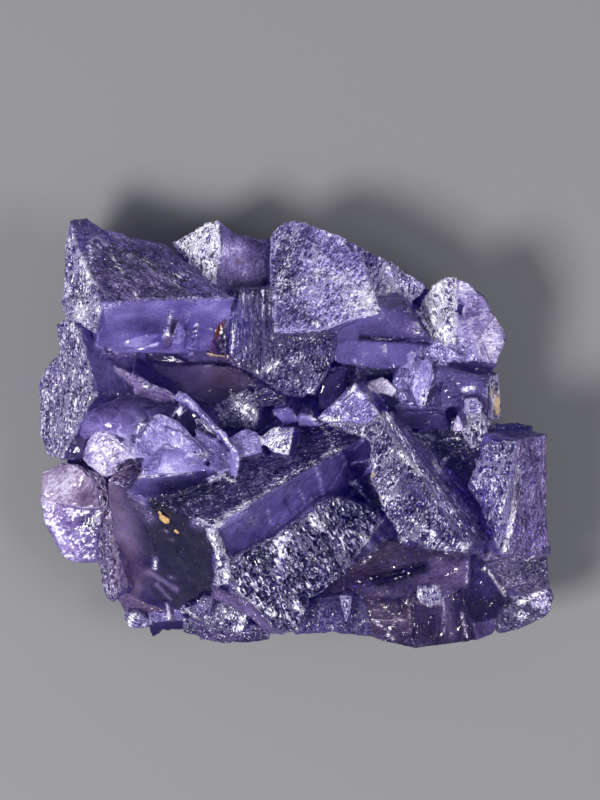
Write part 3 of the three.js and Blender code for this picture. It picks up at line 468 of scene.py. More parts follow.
# Chips and splinters that stand on the faces: flecks, milkiness and pink, then the corners on the
# layout's plan, each with its height over the face below, in mm.
CHIPS = (
    # the glassy flank of the upper left cube
    (0.1, 0.58, 0.0, ((-21.6, 11.1, 0.3), (-20, 10.5, 0.5), (-18.2, 11.2, 0.5), (-16.9, 12.3, 0.3),
        (-19.4, 12.1, 0.2))),
    (0.1, 0.6, 0.0, ((-15.8, 10.2, 0.2), (-14.1, 10.4, 0.7), (-13.7, 12.5, 0.5), (-14.2, 14.3, 0.1),
        (-14.9, 12.8, 0.1))),
    (0.0, 0.45, 0.0, ((-13.6, 10, 0.3), (-12.4, 10.2, 0.5), (-12.2, 12.6, 0.1), (-13, 12.2, 0.1))),
    (0.0, 0.05, 0.8, ((-11.4, 10, 0.5), (-8.6, 9.6, 0.7), (-8.8, 13.8, 0.1), (-10.2, 12.4, 0.1))),
    (0.1, 0.3, 0.3, ((-24.4, 9.6, 0.5), (-20.2, 9.4, 0.8), (-19.8, 10.6, 0.1), (-23.8, 10.8, 0.1))),
    # round the dome
    (0.25, 0.8, 0.1, ((-22.2, -1.6, 0.3), (-20.8, -2.5, 0.2), (-19.9, -2.2, 0.1), (-20.1, -0.7, 1.4),
        (-21, -0.6, 0.7))),
    (0.05, 0.85, 0.0, ((-17.2, 2.5, 0.35), (-16.4, 0.8, 0.2), (-14.4, -1.6, 0.2), (-13, -2.5, 0.3),
        (-11.5, -2.4, 0.4), (-12.6, -1.1, 0.45), (-14.8, 0.5, 0.45))),
    (0.6, 0.3, 0.0, ((-20.1, -0.8, 0.2), (-19.5, -0.7, 0.4), (-18.3, 1, 0.4), (-18.8, 1.5, 0.3),
        (-19.4, 0.9, 0.2))),
    (0.5, 0.8, 0.2, ((-23.6, -5.2, 0.5), (-22.2, -4.8, 0.6), (-22, -3.2, 0.3), (-23.8, -3.4, 0.2))),
    (0.4, 0.6, 0.0, ((-18.9, -4.9, 0.2), (-17.2, -4.2, 0.5), (-16.6, -2.4, 0.3), (-18.6, -2.6, 0.1))),
    (0.2, 0.9, 0.0, ((-13.4, -2.7, 0.1), (-11, -2.5, 0.5), (-11.8, -1.7, 0.3))),
    (0.9, 0.5, 0.0, ((-10.9, -5.9, 0.3), (-9.1, -5.7, 0.5), (-9, -5, 0.4), (-10.5, -5.2, 0.2))),
    (0.35, 0.7, 0.0, ((-13.1, -3.9, 0.3), (-11.6, -3.8, 1.7), (-10.8, -2.9, 1.9), (-12.4, -2.6, 0.9))),
    # the big cube's nearest edge
    (1.0, 0.4, 0.0, ((-10.9, -12.9, 0.3), (-9.8, -14, 0.5), (-9, -13.8, 0.4), (-10, -12.4, 0.2))),
    (1.0, 0.4, 0.0, ((-9.6, -15.9, 0.4), (-8.4, -16, 0.5), (-8.2, -14.6, 0.4), (-8.9, -14.4, 0.2))),
    (1.0, 0.3, 0.0, ((-9.9, -18.2, 0.3), (-8.4, -18.4, 0.5), (-8.4, -17, 0.4), (-9.2, -17.2, 0.2))),
    # large loose steps on the stepped block
    (0.9, 0.7, 0.0, ((-2.6, -13.6, 0.5), (-1.8, -14.4, 0.6), (-1.2, -13.4, 0.5), (-1.4, -12.4, 0.3),
        (-2.2, -12.8, 0.3))),
    (0.9, 0.6, 0.0, ((-2.8, -16.6, 0.5), (-1.6, -18.2, 0.7), (-1, -16.4, 0.5), (-1.4, -15.1, 0.3),
        (-2.3, -15.4, 0.3))),
    (1.0, 0.5, 0.0, ((1.7, -10.6, 0.3), (2.6, -12, 0.6), (3.2, -11.6, 0.6), (2.4, -10.1, 0.3))),
    (0.9, 0.4, 0.0, ((2.6, -9.2, 0.3), (3.4, -10.2, 0.5), (3.9, -10, 0.5), (3.1, -8.9, 0.3))),
    (0.9, 0.3, 0.0, ((-0.4, -21.4, 0.4), (0.4, -22.6, 0.6), (1, -22, 0.5), (0.3, -20.8, 0.3))),
    # the lowest edge on the left
    (0.3, 0.6, 0.2, ((-18.9, -23.9, 0.4), (-16.2, -23.8, 0.5), (-16.5, -22.7, 0.1), (-18.6, -22.6, 0.0))),
    (0.2, 0.4, 0.0, ((-15.6, -23.5, 0.5), (-14.2, -23.4, 0.6), (-14.4, -22.3, 0.2), (-15.4, -21.8, 0.0))),
    (0.9, 0.3, 0.0, ((-14.6, -22.3, 0.4), (-12.3, -23.2, 0.5), (-12.6, -22.6, 0.3), (-14.1, -21.5, 0.3))),
    # the right-hand half
    (1.0, 0.8, 0.0, ((16.8, -3.5, 0.2), (17.4, -4.8, 0.6), (17.7, -4.4, 0.6), (17.2, -3.4, 0.3))),
    (1.0, 0.8, 0.0, ((19.9, -14, 0.3), (20.4, -14.6, 0.5), (20.9, -14, 0.5), (20.4, -13.5, 0.3))),
    (1.0, 0.8, 0.0, ((15.2, 3.3, 0.5), (15.7, 3.3, 0.6), (16.3, 5.2, 0.3), (15.9, 5.3, 0.3))),
    (0.8, 0.8, 0.0, ((20.4, 4.9, 0.4), (21.8, 5.4, 0.4), (21.7, 5.7, 0.3), (20.4, 5.5, 0.3))),
    (0.3, 0.5, 0.0, ((18, 9, 0.2), (20.4, 8.6, 0.6), (20.8, 9.6, 0.5), (18.4, 10.4, 0.1))),
    (0.4, 0.6, 0.0, ((13, 8.2, 0.3), (14.2, 8, 0.5), (14.8, 9.8, 0.3), (13.8, 10.2, 0.1))),
    (0.2, 0.4, 0.0, ((12.2, 6.2, 0.2), (13.6, 6, 0.5), (13.9, 7.6, 0.4), (12.6, 8, 0.1))),
    (1.0, 0.7, 0.2, ((14.2, 12.7, 0.5), (15.6, 11.9, 0.6), (16.2, 13.4, 0.3), (15, 14.2, 0.2))),
    (0.5, 0.8, 0.2, ((29.2, -21.6, 0.4), (31, -22, 0.5), (31.3, -20.8, 0.3), (30, -20.2, 0.1))),
)

# Iron: the middle of each stain, its half length and half width in mm, the direction it runs in,
# its strength, and how far its colour leans from red-brown to ochre.
RUST = (
    ((-9.6, 13.1), (1.3, 0.3), 58, 0.85, 0.0),
    ((-10.4, 10.8), (0.9, 0.5), 60, 0.55, 0.0),
    ((-10, 9.7), (1.3, 0.3), 172, 0.9, 0.7),
    ((-8.9, 9.35), (0.35, 0.35), 0, 1.0, 1.0),
    ((9.5, -5), (0.3, 0.4), 0, 0.8, 0.5),
    ((10.4, -7.5), (0.2, 0.5), 0, 0.7, 0.7),
    ((25, 3.4), (1.6, 0.5), 95, 0.8, 1.0),
    ((24.3, 5), (1.0, 0.4), 60, 0.6, 1.0),
    ((-7.3, 20.9), (0.8, 0.45), 150, 0.65, 0.1),
    ((-6, 20.6), (0.5, 0.25), 80, 0.7, 0.8),
    ((-9.7, -5.4), (0.7, 0.3), 170, 0.7, 0.9),
    ((10.8, -21.4), (1.0, 0.35), 140, 0.5, 0.8),
    ((-5.3, 4.9), (0.4, 0.25), 85, 0.6, 0.5),
)
# Loose grains of iron oxide: plan position and size, in mm.
GRAINS = (((-16.3, -10.5), 1.3), ((-14.8, -12.1), 0.6), ((-16.8, -9.8), 0.5))

# ------------------------------------------------------------------ etching

# Growth blocks on the stepped faces, on the frosted ones, and on the smooth ones: their height, their
# length and width in mm, and what they add to the seed. The heights are in mm, apart from those of
# the steps, which are shares of the step height in the settings.
STEPS = ((0.5, 2.6, 1.5, 0), (0.55, 1.25, 0.75, 10), (0.42, 0.62, 0.42, 20))
CRUST = ((0.05, 0.9, 0.6, 30),)
PLATES = ((0.16, 5.5, 2.8, 40), (0.1, 2.3, 1.3, 45))
RIB_HEIGHT = 0.17
# Slow waves: the directions of the four that make up one swell, and the swells that bend the whole,
# each with its length in mm, its share of the bend and its phase.
WAVES = np.array([[0.8, 0.3, 0.5], [-0.4, 0.9, 0.2], [0.3, -0.5, 0.8], [-0.7, -0.3, 0.6]])
BENDS = ((15.0, 1.0, 0), (6.0, 0.5, 9), (2.6, 0.28, 17))
# A point lies on a face if it is this near to it, in mm, with at least this cosine between their
# normals. A point on no face takes the finish of one that is within the riser's reach.
FACE_REACH, FACE_COSINE, RISER_REACH = 0.62, 0.9985, 0.5
# The solid's dome has flat facets, so its points lie at about this share of the true one's size,
# give or take the slack.
DOME_SHARE, DOME_SLACK = 0.985, 0.03
# An edge wears, and gets a painted white highlight, if it is at least this long, in mm, turns by at
# least this many radians, and parts faces of more than this many square mm. The wear and the highlight
# are followed along it in steps this long, and reach this far from it.
EDGE_LENGTH, EDGE_TURN, EDGE_AREA, EDGE_STEP, WEAR_AND_HIGHLIGHT_REACH = 2.2, 0.5, 0.5, 0.25, 0.42
# Chips are rooted this deep, in mm. A point is a chip's if it stands off the solid by more than the
# gap, and lies within the rim round the chip's corners.
CHIP_ROOT, CHIP_GAP, CHIP_RIM = 1.2, 0.1, 0.15
# Triangles that meet at this angle or more keep a sharp edge, and those that are frosted this much
# are shaded flat.
SHARP_ANGLE, FACETED = math.radians(24), 0.6
# A stretch in PATCHES that reaches less than this far, in mm, is a fine mark.
FINE_MARK = 0.5
# A height above all of the crystals, in mm.
ABOVE_ALL = 60.0


def chance(a, b, seed):
    """A number from 0 to 1 for each whole-numbered pair, always the same."""
    x = np.sin(a * 127.1 + b * 311.7 + seed * 74.7) * 43758.5453
    return x - np.floor(x)


def blocks(u, v, long, wide, seed):
    """Rectangular growth blocks: each point gets its block's own height, leaning a little."""
    gu, gv = u / long, v / wide
    # each row is shifted by up to a quarter of a block
    gu = gu + 0.5 * (chance(np.floor(gv), 0 * gv, seed + 3) - 0.5)
    iu, iv = np.floor(gu), np.floor(gv)
    best = np.full(u.shape, np.inf)
    height = np.zeros(u.shape)
    for du in (-1, 0, 1):
        for dv in (-1, 0, 1):
            cu, cv = iu + du, iv + dv
            # a block's middle keeps clear of the rim of its cell
            off_u = gu - (cu + 0.15 + 0.7 * chance(cu, cv, seed))
            off_v = gv - (cv + 0.15 + 0.7 * chance(cu, cv, seed + 1))
            far = np.maximum(np.abs(off_u), np.abs(off_v))
            lean_u = off_u * (chance(cu, cv, seed + 4) - 0.5)
            lean_v = off_v * (chance(cu, cv, seed + 5) - 0.5)
            own = chance(cu, cv, seed + 2) + 0.9 * (lean_u + lean_v)
            nearer = far < best
            best = np.where(nearer, far, best)
            height = np.where(nearer, own, height)
    return height - 0.5


def swell(points, size, phase):
    """Slow waves over a broken face, about this long in mm."""
    total = np.zeros(len(points))
    for i, way in enumerate(WAVES):
        total += np.sin(points @ way * (2 * math.pi / size) * (0.8 + 0.35 * i) + phase + 2.1 * i)
    return total / len(WAVES)


def wander(points, most):
    """Moves each point a little, the same way as its neighbours, so no edge stays ruler-straight."""
    shift = [
        sum(share * swell(points, size, axis + phase) for size, share, phase in BENDS)
        for axis in (0.0, 31.0, 62.0)
    ]
    # the lowest 4 mm rise and fall less and less, so that the underside stays flat
    shift[2] = shift[2] * np.clip(points[:, 2] / 4, 0, 1)
    return points + most * np.stack(shift, axis=1)


def unit(rows):
    return rows / np.maximum(np.linalg.norm(rows, axis=1, keepdims=True), 1e-12)


def nearest(tree, points):
    """The nearest place on a closed surface, and the surface's normal there, for each point."""
    place = np.empty_like(points)
    normal = np.empty_like(points)
    for i, p in enumerate(points):
        place[i], normal[i], _, _ = tree.find_nearest(p)
    return place, normal


def sorted_places(places):
    """A tree that finds the nearest of these places."""
    tree = KDTree(len(places))
    for i, p in enumerate(places):
        tree.insert(p, i)
    tree.balance()
    return tree


def on_dome(points):
    """Which points of the skin lie on the smooth dome."""
    share = np.linalg.norm((points - DOME_MIDDLE) / DOME_HALF, axis=1)
    return (np.abs(share - DOME_SHARE) < DOME_SLACK) & (points[:, 2] > DOME_MIDDLE[2])


def round_dome(place, normal):
    """Moves the points on the dome's flat facets onto a true round."""
    dome = on_dome(place)
    off = place[dome] - DOME_MIDDLE
    place[dome] = DOME_MIDDLE + off / np.linalg.norm(off / DOME_HALF, axis=1, keepdims=True)
    normal[dome] = unit((place[dome] - DOME_MIDDLE) / DOME_HALF**2)


def from_stretch(points, start, end):
    """How far each point of the skin lies, in plan, from a stretch of the layout."""
    plan = (points - LAYOUT_ZERO)[:, :2] - start
    run = np.subtract(end, start)
    part = np.clip(plan @ run / (run @ run), 0, 1)[:, None]
    return np.linalg.norm(plan - part * run, axis=1)


def read_finish(points, normals):
    """The finish of each point of the skin, from the crystal face that it lies on."""
    which = np.full(len(points), -1)
    best = np.full(len(points), FACE_COSINE)
    for i, (at, slope, *_) in enumerate(FACES):
        square = np.array([-slope[0], -slope[1], 1.0])
        square /= np.linalg.norm(square)
        away = np.abs((points - (np.array(at) + LAYOUT_ZERO)) @ square)
        # of two faces with about the same slope, the nearer one is taken
        close = normals @ square - 0.001 * away
        mine = (close > best) & (away < FACE_REACH)
        which[mine] = i
        best[mine] = close[mine]
    # a point beside a face, such as the riser of a step, is finished like that face
    known = np.flatnonzero(which >= 0)
    near = sorted_places(points[known])
    for i in np.flatnonzero(which < 0):
        _, j, far = near.find(points[i])
        if far < RISER_REACH:
            which[i] = which[known[j]]
    which[on_dome(points)] = len(FACES)
    kinds = [face[2:] for face in FACES] + [DOME_FINISH]
    table = [(*FINISHES[kind], *own, 0.0)[: PINK + 1] for kind, *own in kinds]
    found = np.array([*table, (0,) * (PINK + 1)])[which]
    # the other faces are breaks and cube flanks: mostly glassy, some dull, by their direction
    other = which < 0
    key = np.round(normals[other] * 4)
    luck = chance(key[:, 0], key[:, 1] + 7 * key[:, 2], 11)
    found[other, STEPPED] = 0.12 * luck
    found[other, FROSTED] = 0.06 + 0.4 * luck**2
    found[other, FINE] = 1.0
    found[other, TURN] = 360 * luck
    found[other, FLECK_AND_GLINT] = 0.04 + 0.3 * luck**2
    found[other, MILKY] = 0.12 + 0.2 * luck
    found[other, PINK] = 0.1
    upward = normals[:, 2] > 0.2
    for start, end, reach, *more in PATCHES:
        here = np.exp(-((from_stretch(points, start, end) / reach) ** 2)) * upward
        # more flecks bring more frost, but fewer take none away
        found[:, FROSTED] += here * max(more[0], 0)
        for column, extra in zip((FLECK_AND_GLINT, MILKY, PINK), more):
            found[:, column] += here * extra
    for column in (FROSTED, FLECK_AND_GLINT, MILKY, PINK):
        found[:, column] = np.clip(found[:, column], 0, 1)
    return found


def on_fine_marks(points):
    """Which points of the skin lie on a slash or rim so thin that it needs every one of them."""
    near = np.zeros(len(points), bool)
    for start, end, reach, *_ in PATCHES:
        if reach < FINE_MARK:
            near |= from_stretch(points, start, end) < 1.5 * reach + 0.1
    return near & (points[:, 2] > 1)


def stains(points, normals):
    """How rusty each point of the skin is, and how ochre the rust."""
    plan = points - LAYOUT_ZERO
    rust = np.zeros(len(points))
    ochre = np.zeros(len(points))
    for (x, y), (long, wide), degrees, strength, pale in RUST:
        c, s = math.cos(math.radians(degrees)), math.sin(math.radians(degrees))
        dx, dy = plan[:, 0] - x, plan[:, 1] - y
        far = np.hypot((dx * c + dy * s) / long, (dy * c - dx * s) / wide)
        here = strength * np.clip(1.5 - far, 0, 1) * (normals[:, 2] > 0)
        ochre = np.where(here > rust, pale, ochre)
        rust = np.maximum(rust, here)
    return rust, ochre


def grain_frame(points, normals, degrees):
    """Place along the steps, across them and square to the face, in mm."""
    turn = np.radians(degrees)
    along = np.stack([np.cos(turn), np.sin(turn), np.zeros(len(turn))], axis=1)
    along = unit(along - normals * np.sum(along * normals, axis=1, keepdims=True))
    across = np.cross(normals, along)
    return np.stack([np.sum(points * d, axis=1) for d in (along, across, normals)], axis=1)


def relief(points, normals, found, skin):
    """How far each point of the skin stands out of its flat face, in mm."""
    stepped, ribbed, frosted = found[:, : FROSTED + 1].T
    u, v, _ = grain_frame(points, normals, found[:, TURN]).T * found[:, FINE]

    def grown(long, wide, seed):
        return blocks(u, v, long, wide, skin.seed + seed)

    out = stepped * (skin.step_height / MM) * sum(high * grown(*size) for high, *size in STEPS)
    for high, *size in CRUST:
        out += high * frosted * grown(*size)
    ribs = v / (skin.rib_pitch / MM) + 0.25 * np.sin(u * 0.5) + 0.3 * np.sin(u * 0.17 + 1)
    line = np.floor(ribs)
    ridge = 0.7 * (0.5 - np.abs(ribs - line - 0.5))
    out += ribbed * RIB_HEIGHT * (chance(line, 0 * line, 5) - 0.5 + ridge)
    out += 0.035 * (1 - stepped) * swell(points, 7.0, 1.0)
    for high, *size in PLATES:
        out += high * (1 - stepped) * (1 - ribbed) * grown(*size)
    # the dome is nearly smooth, and the break that the crystals lie on stays flat
    out[on_dome(points)] *= 0.08
    out[normals[:, 2] < -0.9] *= 0.2
    out[points[:, 2] < 0.02] = 0.0
    return out


def edge_wear_and_highlight(solid, points):
    """How close each point lies to a sharp outer edge of a crystal, from 0 to 1."""
    rim = bmesh.new()
    rim.from_mesh(solid)
    places = []
    for e in rim.edges:
        long = e.calc_length()
        if long < EDGE_LENGTH or not e.is_convex or len(e.link_faces) != 2:
            continue
        if e.calc_face_angle(0) >= EDGE_TURN and min(f.calc_area() for f in e.link_faces) > EDGE_AREA:
            a, b = (np.array(v.co) for v in e.verts)
            steps = max(2, int(long / EDGE_STEP))
            places.extend(a + (b - a) * (k / steps) for k in range(steps + 1))
    rim.free()
    tree = sorted_places(places)
    gap = np.array([tree.find(p)[2] for p in points])
    return np.clip(1 - gap / WEAR_AND_HIGHLIGHT_REACH, 0, 1)


def bite(points, worn, skin):
    """How deep the chips along the worn edges go at each point, in mm."""
    x, y, z = points.T
    # chips of two sizes, and none at the foot
    large = 0.5 + blocks(x + z, y - z, 1.7, 1.1, skin.seed + 50)
    small = 0.5 + blocks(x - z, y + z, 0.8, 0.6, skin.seed + 60)
    return worn**1.5 * (0.1 + 0.45 * large + 0.3 * small) * skin.chip / MM * (z > 0.5)


# ------------------------------------------------------------------ mesh helpers


def in_scene(name, data):
    """A new object in the scene that holds this mesh, light or camera."""
    made = bpy.data.objects.new(name, data)
    bpy.context.scene.collection.objects.link(made)
    return made


def mesh_of(work, name):
    """A new mesh from finished work."""
    mesh = bpy.data.meshes.new(name)
    work.to_mesh(mesh)
    work.free()
    return mesh


def vectors_of(mesh, kind):
    """For each point of a mesh, its place (co) or its normal."""
    rows = np.empty(len(mesh.vertices) * 3, np.float32)
    mesh.vertices.foreach_get(kind, rows)
    return rows.reshape(-1, 3).astype(float)


def set_points(mesh, points):
    mesh.vertices.foreach_set("co", points.astype(np.float32).ravel())
    mesh.update()


def with_modifier(mesh, kind, change=None, **settings):
    """The mesh with one modifier applied, mostly to the points of change where that is given."""
    carrier = in_scene("carrier", mesh)
    if change is not None:
        carrier.vertex_groups.new(name="change").add(change.tolist(), 1.0, "REPLACE")
        settings["vertex_group"] = "change"
    modifier = carrier.modifiers.new("work", kind)
    for name, value in settings.items():
        setattr(modifier, name, value)
    depsgraph = bpy.context.evaluated_depsgraph_get()
    made = bpy.data.meshes.new_from_object(carrier.evaluated_get(depsgraph))
    bpy.data.objects.remove(carrier)
    return made


def solid_in_mm(node):
    """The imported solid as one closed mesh, in mm, and the tree of its faces."""
    work = bmesh.new()
    work.from_mesh(node.data)
    bmesh.ops.scale(work, vec=(1 / MM,) * 3, verts=work.verts)
    bmesh.ops.remove_doubles(work, verts=work.verts, dist=1e-5)
    tree = BVHTree.FromBMesh(work)
    return mesh_of(work, "solid"), tree


def below(tree, x, y):
    """The highest place on the solid at a point of the layout's plan, and the normal there."""
    start = Vector((x + LAYOUT_ZERO[0], y + LAYOUT_ZERO[1], ABOVE_ALL))
    at, way, _, _ = tree.ray_cast(start, Vector((0, 0, -1)))
    if at is None:
        raise RuntimeError(f"no crystal under {x}, {y}")
    return at, way


def with_chips(solid, tree):
    """The solid with its chips standing in it, each a small prism that follows the face below."""
    work = bmesh.new()
    work.from_mesh(solid)
    for *_, corners in CHIPS:
        top, foot = [], []
        for x, y, high in corners:
            at, _ = below(tree, x, y)
            top.append(work.verts.new(at + Vector((0, 0, high))))
            foot.append(work.verts.new(at - Vector((0, 0, CHIP_ROOT))))
        work.faces.new(top)
        work.faces.new(foot[::-1])
        for i, corner in enumerate(top):
            work.faces.new((corner, foot[i], foot[i - 1], top[i - 1]))
    bmesh.ops.triangulate(work, faces=work.faces)
    return mesh_of(work, "solid_with_chips")


def on_chips(place, points):
    """The chip that each point of the skin belongs to, or -1, from its place on the solid."""
    plan = (place - LAYOUT_ZERO)[:, :2]
    raised = np.linalg.norm(place - points, axis=1) > CHIP_GAP
    which = np.full(len(place), -1)
    for number, (*_, corners) in enumerate(CHIPS):
        corners = np.array(corners)[:, :2]
        inside = raised.copy()
        for a, b in zip(corners, np.roll(corners, -1, axis=0)):
            side = (b - a)[::-1] * (1, -1) / np.linalg.norm(b - a)
            inside &= (plan - a) @ side < CHIP_RIM
        which[inside] = number
    return which


def carve(mesh, solid, tree, skin):
    """Works the steps, ribs, worn edges and dome into the skin, and gives its points' new places."""
    start = vectors_of(mesh, "co")
    outward = vectors_of(mesh, "normal")
    place, normal = nearest(tree, start)
    found = read_finish(place, normal)
    depth = bite(place, edge_wear_and_highlight(solid, place), skin)
    round_dome(place, normal)
    chip = on_chips(place, start) >= 0
    place[chip] = start[chip]
    normal[chip] = outward[chip]
    moved = place + normal * relief(place, normal, found, skin)[:, None] - outward * depth[:, None]
    set_points(mesh, moved)
    return moved


def thin_out(mesh, moved, most):
    """The skin with at most about this many triangles, all of its thin marks left as they are."""
    count = sum(len(f.vertices) - 2 for f in mesh.polygons)
    if count <= most:
        return mesh
    plain = np.flatnonzero(~on_fine_marks(moved))
    return with_modifier(mesh, "DECIMATE", plain, ratio=most / count)


def mark_sharp(mesh, frosted):
    """Smooth shading on the glassy faces, and a facet for each triangle of the rough ones."""
    work = bmesh.new()
    work.from_mesh(mesh)
    for e in work.edges:
        e.smooth = len(e.link_faces) == 2 and e.calc_face_angle(0) < SHARP_ANGLE
    for f in work.faces:
        f.smooth = max(frosted[v.index] for v in f.verts) < FACETED
    work.to_mesh(mesh)
    work.free()


def store(mesh, name, values):
    values = np.asarray(values, np.float32)
    kind, field = ("FLOAT", "value") if values.ndim == 1 else ("FLOAT_VECTOR", "vector")
    mesh.attributes.new(name, kind, "POINT").data.foreach_set(field, values.ravel())


def store_finish(mesh, solid, tree):
    """Shades the skin and stores on each of its points what the material reads."""
    points = vectors_of(mesh, "co")
    place, normal = nearest(tree, points)
    found = read_finish(place, normal)
    chip = on_chips(place, points)
    found[chip >= 0, FLECK_AND_GLINT:] = np.array([values for *values, _ in CHIPS])[chip[chip >= 0]]
    mark_sharp(mesh, found[:, FROSTED])
    worn = edge_wear_and_highlight(solid, place)
    rust, ochre = stains(place, normal)
    # a worn edge is frosted, whatever the face
    store(mesh, "frosted", np.maximum(found[:, FROSTED], 0.7 * worn))
    for name, column in (("ribbed", RIBBED), ("fleck_and_glint", FLECK_AND_GLINT), ("milky", MILKY), ("pink", PINK)):
        store(mesh, name, found[:, column])
    # the nearness to a worn edge goes to the material too, which paints a white highlight along the edge
    for name, values in (("rust", rust), ("ochre", ochre), ("worn", worn)):
        store(mesh, name, values)
    lie = grain_frame(points, normal, found[:, TURN]) * found[:, FINE : FINE + 1]
    store(mesh, "lie", lie)


# ------------------------------------------------------------------ materials


def add(tree, kind, links=None, **settings):
    """Adds a node with its settings; links gives each input a value, a colour, a node or a node's
    output."""
    made = tree.nodes.new("ShaderNode" + kind)
    for name, value in settings.items():
        setattr(made, name, value)
    for name, value in (links or {}).items():
        socket = made.inputs[name]
        if isinstance(value, bpy.types.Node):
            value = value.outputs[0]
        if isinstance(value, bpy.types.NodeSocket):
            tree.links.new(value, socket)
        elif socket.type == "RGBA":
            socket.default_value = (*value, 1.0)
        else:
            socket.default_value = value
    return made


def bare_material(name):
    """A new material that has no nodes yet, and its node tree."""
    material = bpy.data.materials.new(name)
    material.use_nodes = True
    material.node_tree.nodes.clear()
    return material, material.node_tree


def fluorite_grown_and_etched(skin):
    """Fluorite, grown, then etched and broken: clear violet glass where it is smooth, and where the
    etching bit, a crust of tiny steps that throw light back, white with frost and with painted glints,
    and with a painted highlight along the sharp edges."""
    material, tree = bare_material("fluorite_grown_and_etched")
    read = {
        name: add(tree, "Attribute", attribute_name=name).outputs["Fac"]
        for name in ("ribbed", "frosted", "fleck_and_glint", "milky", "pink", "rust", "ochre", "worn")
    }
    # A place along the steps, across them and square to the face, in mm times its pattern's fineness.
    # So each scale below is one over a size in mm.
    lie = add(tree, "Attribute", attribute_name="lie").outputs["Vector"]

    # Slow patches, about 3 mm across, where the etching went deeper.
    patches = add(tree, "TexNoise", {"Vector": lie, "Scale": 0.36, "Detail": 3.0, "Roughness": 0.6})
    # Striae: fine growth lines, 0.15 mm apart and about 0.8 mm long.
    striae = add(tree, "Mapping", {"Vector": lie, "Scale": (1 / 0.8, 1 / 0.15, 1 / 0.8)})
    striae = add(tree, "TexNoise", {"Vector": striae, "Scale": 1.0, "Detail": 2.0})
    level = add(tree, "Math", {0: patches, 1: 0.8, 2: -0.65}, operation="MULTIPLY_ADD")
    level = add(tree, "Math", {0: striae, 1: 0.5, 2: level}, operation="MULTIPLY_ADD")

    # Etch steps of three sizes, long and wide in mm, long along the grain, in rows that a wave of
    # about 1 mm bends. Each has a height and a lean of its own. The sum of the heights, with a painted
    # shade that runs across each step the way it leans, is how near a place comes to turning white,
    # with frost and with painted glints.
    wave = add(tree, "TexNoise", {"Vector": lie, "Scale": 0.9, "Detail": 2.0}).outputs["Color"]
    leans = []
    for long, wide, share in ((1.6, 0.75, 0.2), (0.7, 0.34, 0.32), (0.32, 0.17, 0.42)):
        place = add(tree, "Mapping", {"Vector": lie, "Scale": (1 / long, 1 / wide, 1 / long)})
        bent = {0: wave, 1: (0.9, 0.9, 0.9), 2: place}
        bent = add(tree, "VectorMath", bent, operation="MULTIPLY_ADD")
        cell = add(tree, "TexVoronoi", {"Vector": bent, "Scale": 1.0}, distance="CHEBYCHEV")
        high = add(tree, "SeparateColor", {0: cell.outputs["Color"]}).outputs[2]
        lean = {0: cell.outputs["Color"], 1: (0.5, 0.5, 0.5)}
        leans.append(add(tree, "VectorMath", lean, operation="SUBTRACT"))
        off = {0: bent, 1: cell.outputs["Position"]}
        off = add(tree, "VectorMath", off, operation="SUBTRACT")
        slope = add(tree, "VectorMath", {0: off, 1: leans[-1]}, operation="DOT_PRODUCT")
        slope = slope.outputs["Value"]
        level = add(tree, "Math", {0: high, 1: share, 2: level}, operation="MULTIPLY_ADD")
        # painted shade: each step is lighter towards the way it leans and darker away from it
        level = add(tree, "Math", {0: slope, 1: 1.4 * share, 2: level}, operation="MULTIPLY_ADD")

    # Ribs: long lines, 0.25 mm apart, along the grain of the striped faces.
    lines = add(tree, "Mapping", {"Vector": lie, "Scale": (1 / 5.0, 1 / 0.25, 1 / 5.0)})
    lines = add(tree, "TexNoise", {"Vector": lines, "Scale": 1.0, "Detail": 2.0})
    lines = add(tree, "Math", {0: lines, 1: 2.0, 2: -1.0}, operation="MULTIPLY_ADD")
    level = add(tree, "Math", {0: lines, 1: read["ribbed"], 2: level}, operation="MULTIPLY_ADD")

    # Each step leans its own way, and flashes when its turn comes.
    steep = add(tree, "Math", {0: read["frosted"], 1: 0.7}, operation="MULTIPLY")
    tipped = add(tree, "VectorMath", {0: leans[1], 1: leans[2]}, operation="ADD")
    tipped = add(tree, "VectorMath", {0: tipped, "Scale": steep}, operation="SCALE")
    square = add(tree, "NewGeometry").outputs["Normal"]
    tipped = add(tree, "VectorMath", {0: square, 1: tipped}, operation="ADD")
    tipped = add(tree, "VectorMath", {0: tipped}, operation="NORMALIZE")

    # The more flecks a face has, or the nearer a worn edge is, the lower the level that turns white:
    # white frost, painted glints, and along the edges a painted highlight.
    amount = add(tree, "Math", {0: read["worn"], 1: 0.85}, operation="MULTIPLY")
    amount = add(tree, "Math", {0: read["fleck_and_glint"], 1: amount}, operation="MAXIMUM")
    least = add(tree, "Math", {0: amount, 1: -0.72, 2: 1.0}, operation="MULTIPLY_ADD")
    most = add(tree, "Math", {0: least, 1: 0.32}, operation="ADD")
    frost_and_glint = add(tree, "MapRange", {"Value": level, "From Min": least, "From Max": most})
    tone = add(tree, "Math", {0: amount, 1: 0.62, 2: 0.36}, operation="MULTIPLY_ADD")
    frost_and_glint = add(tree, "Math", {0: frost_and_glint, 1: tone}, operation="MULTIPLY")

    # Hairline scratches on the smooth faces, a few mm long.
    scored = {"Vector": lie, "Rotation": (0.0, 0.0, 0.7), "Scale": (1 / 3.2, 1 / 0.16, 1 / 3.2)}
    scored = add(tree, "Mapping", scored)
    scored = add(tree, "TexNoise", {"Vector": scored, "Scale": 1.0, "Detail": 1.0})
    scored = {"Value": scored, "From Min": 0.74, "From Max": 0.82, "To Max": 0.35}
    scored = add(tree, "MapRange", scored)
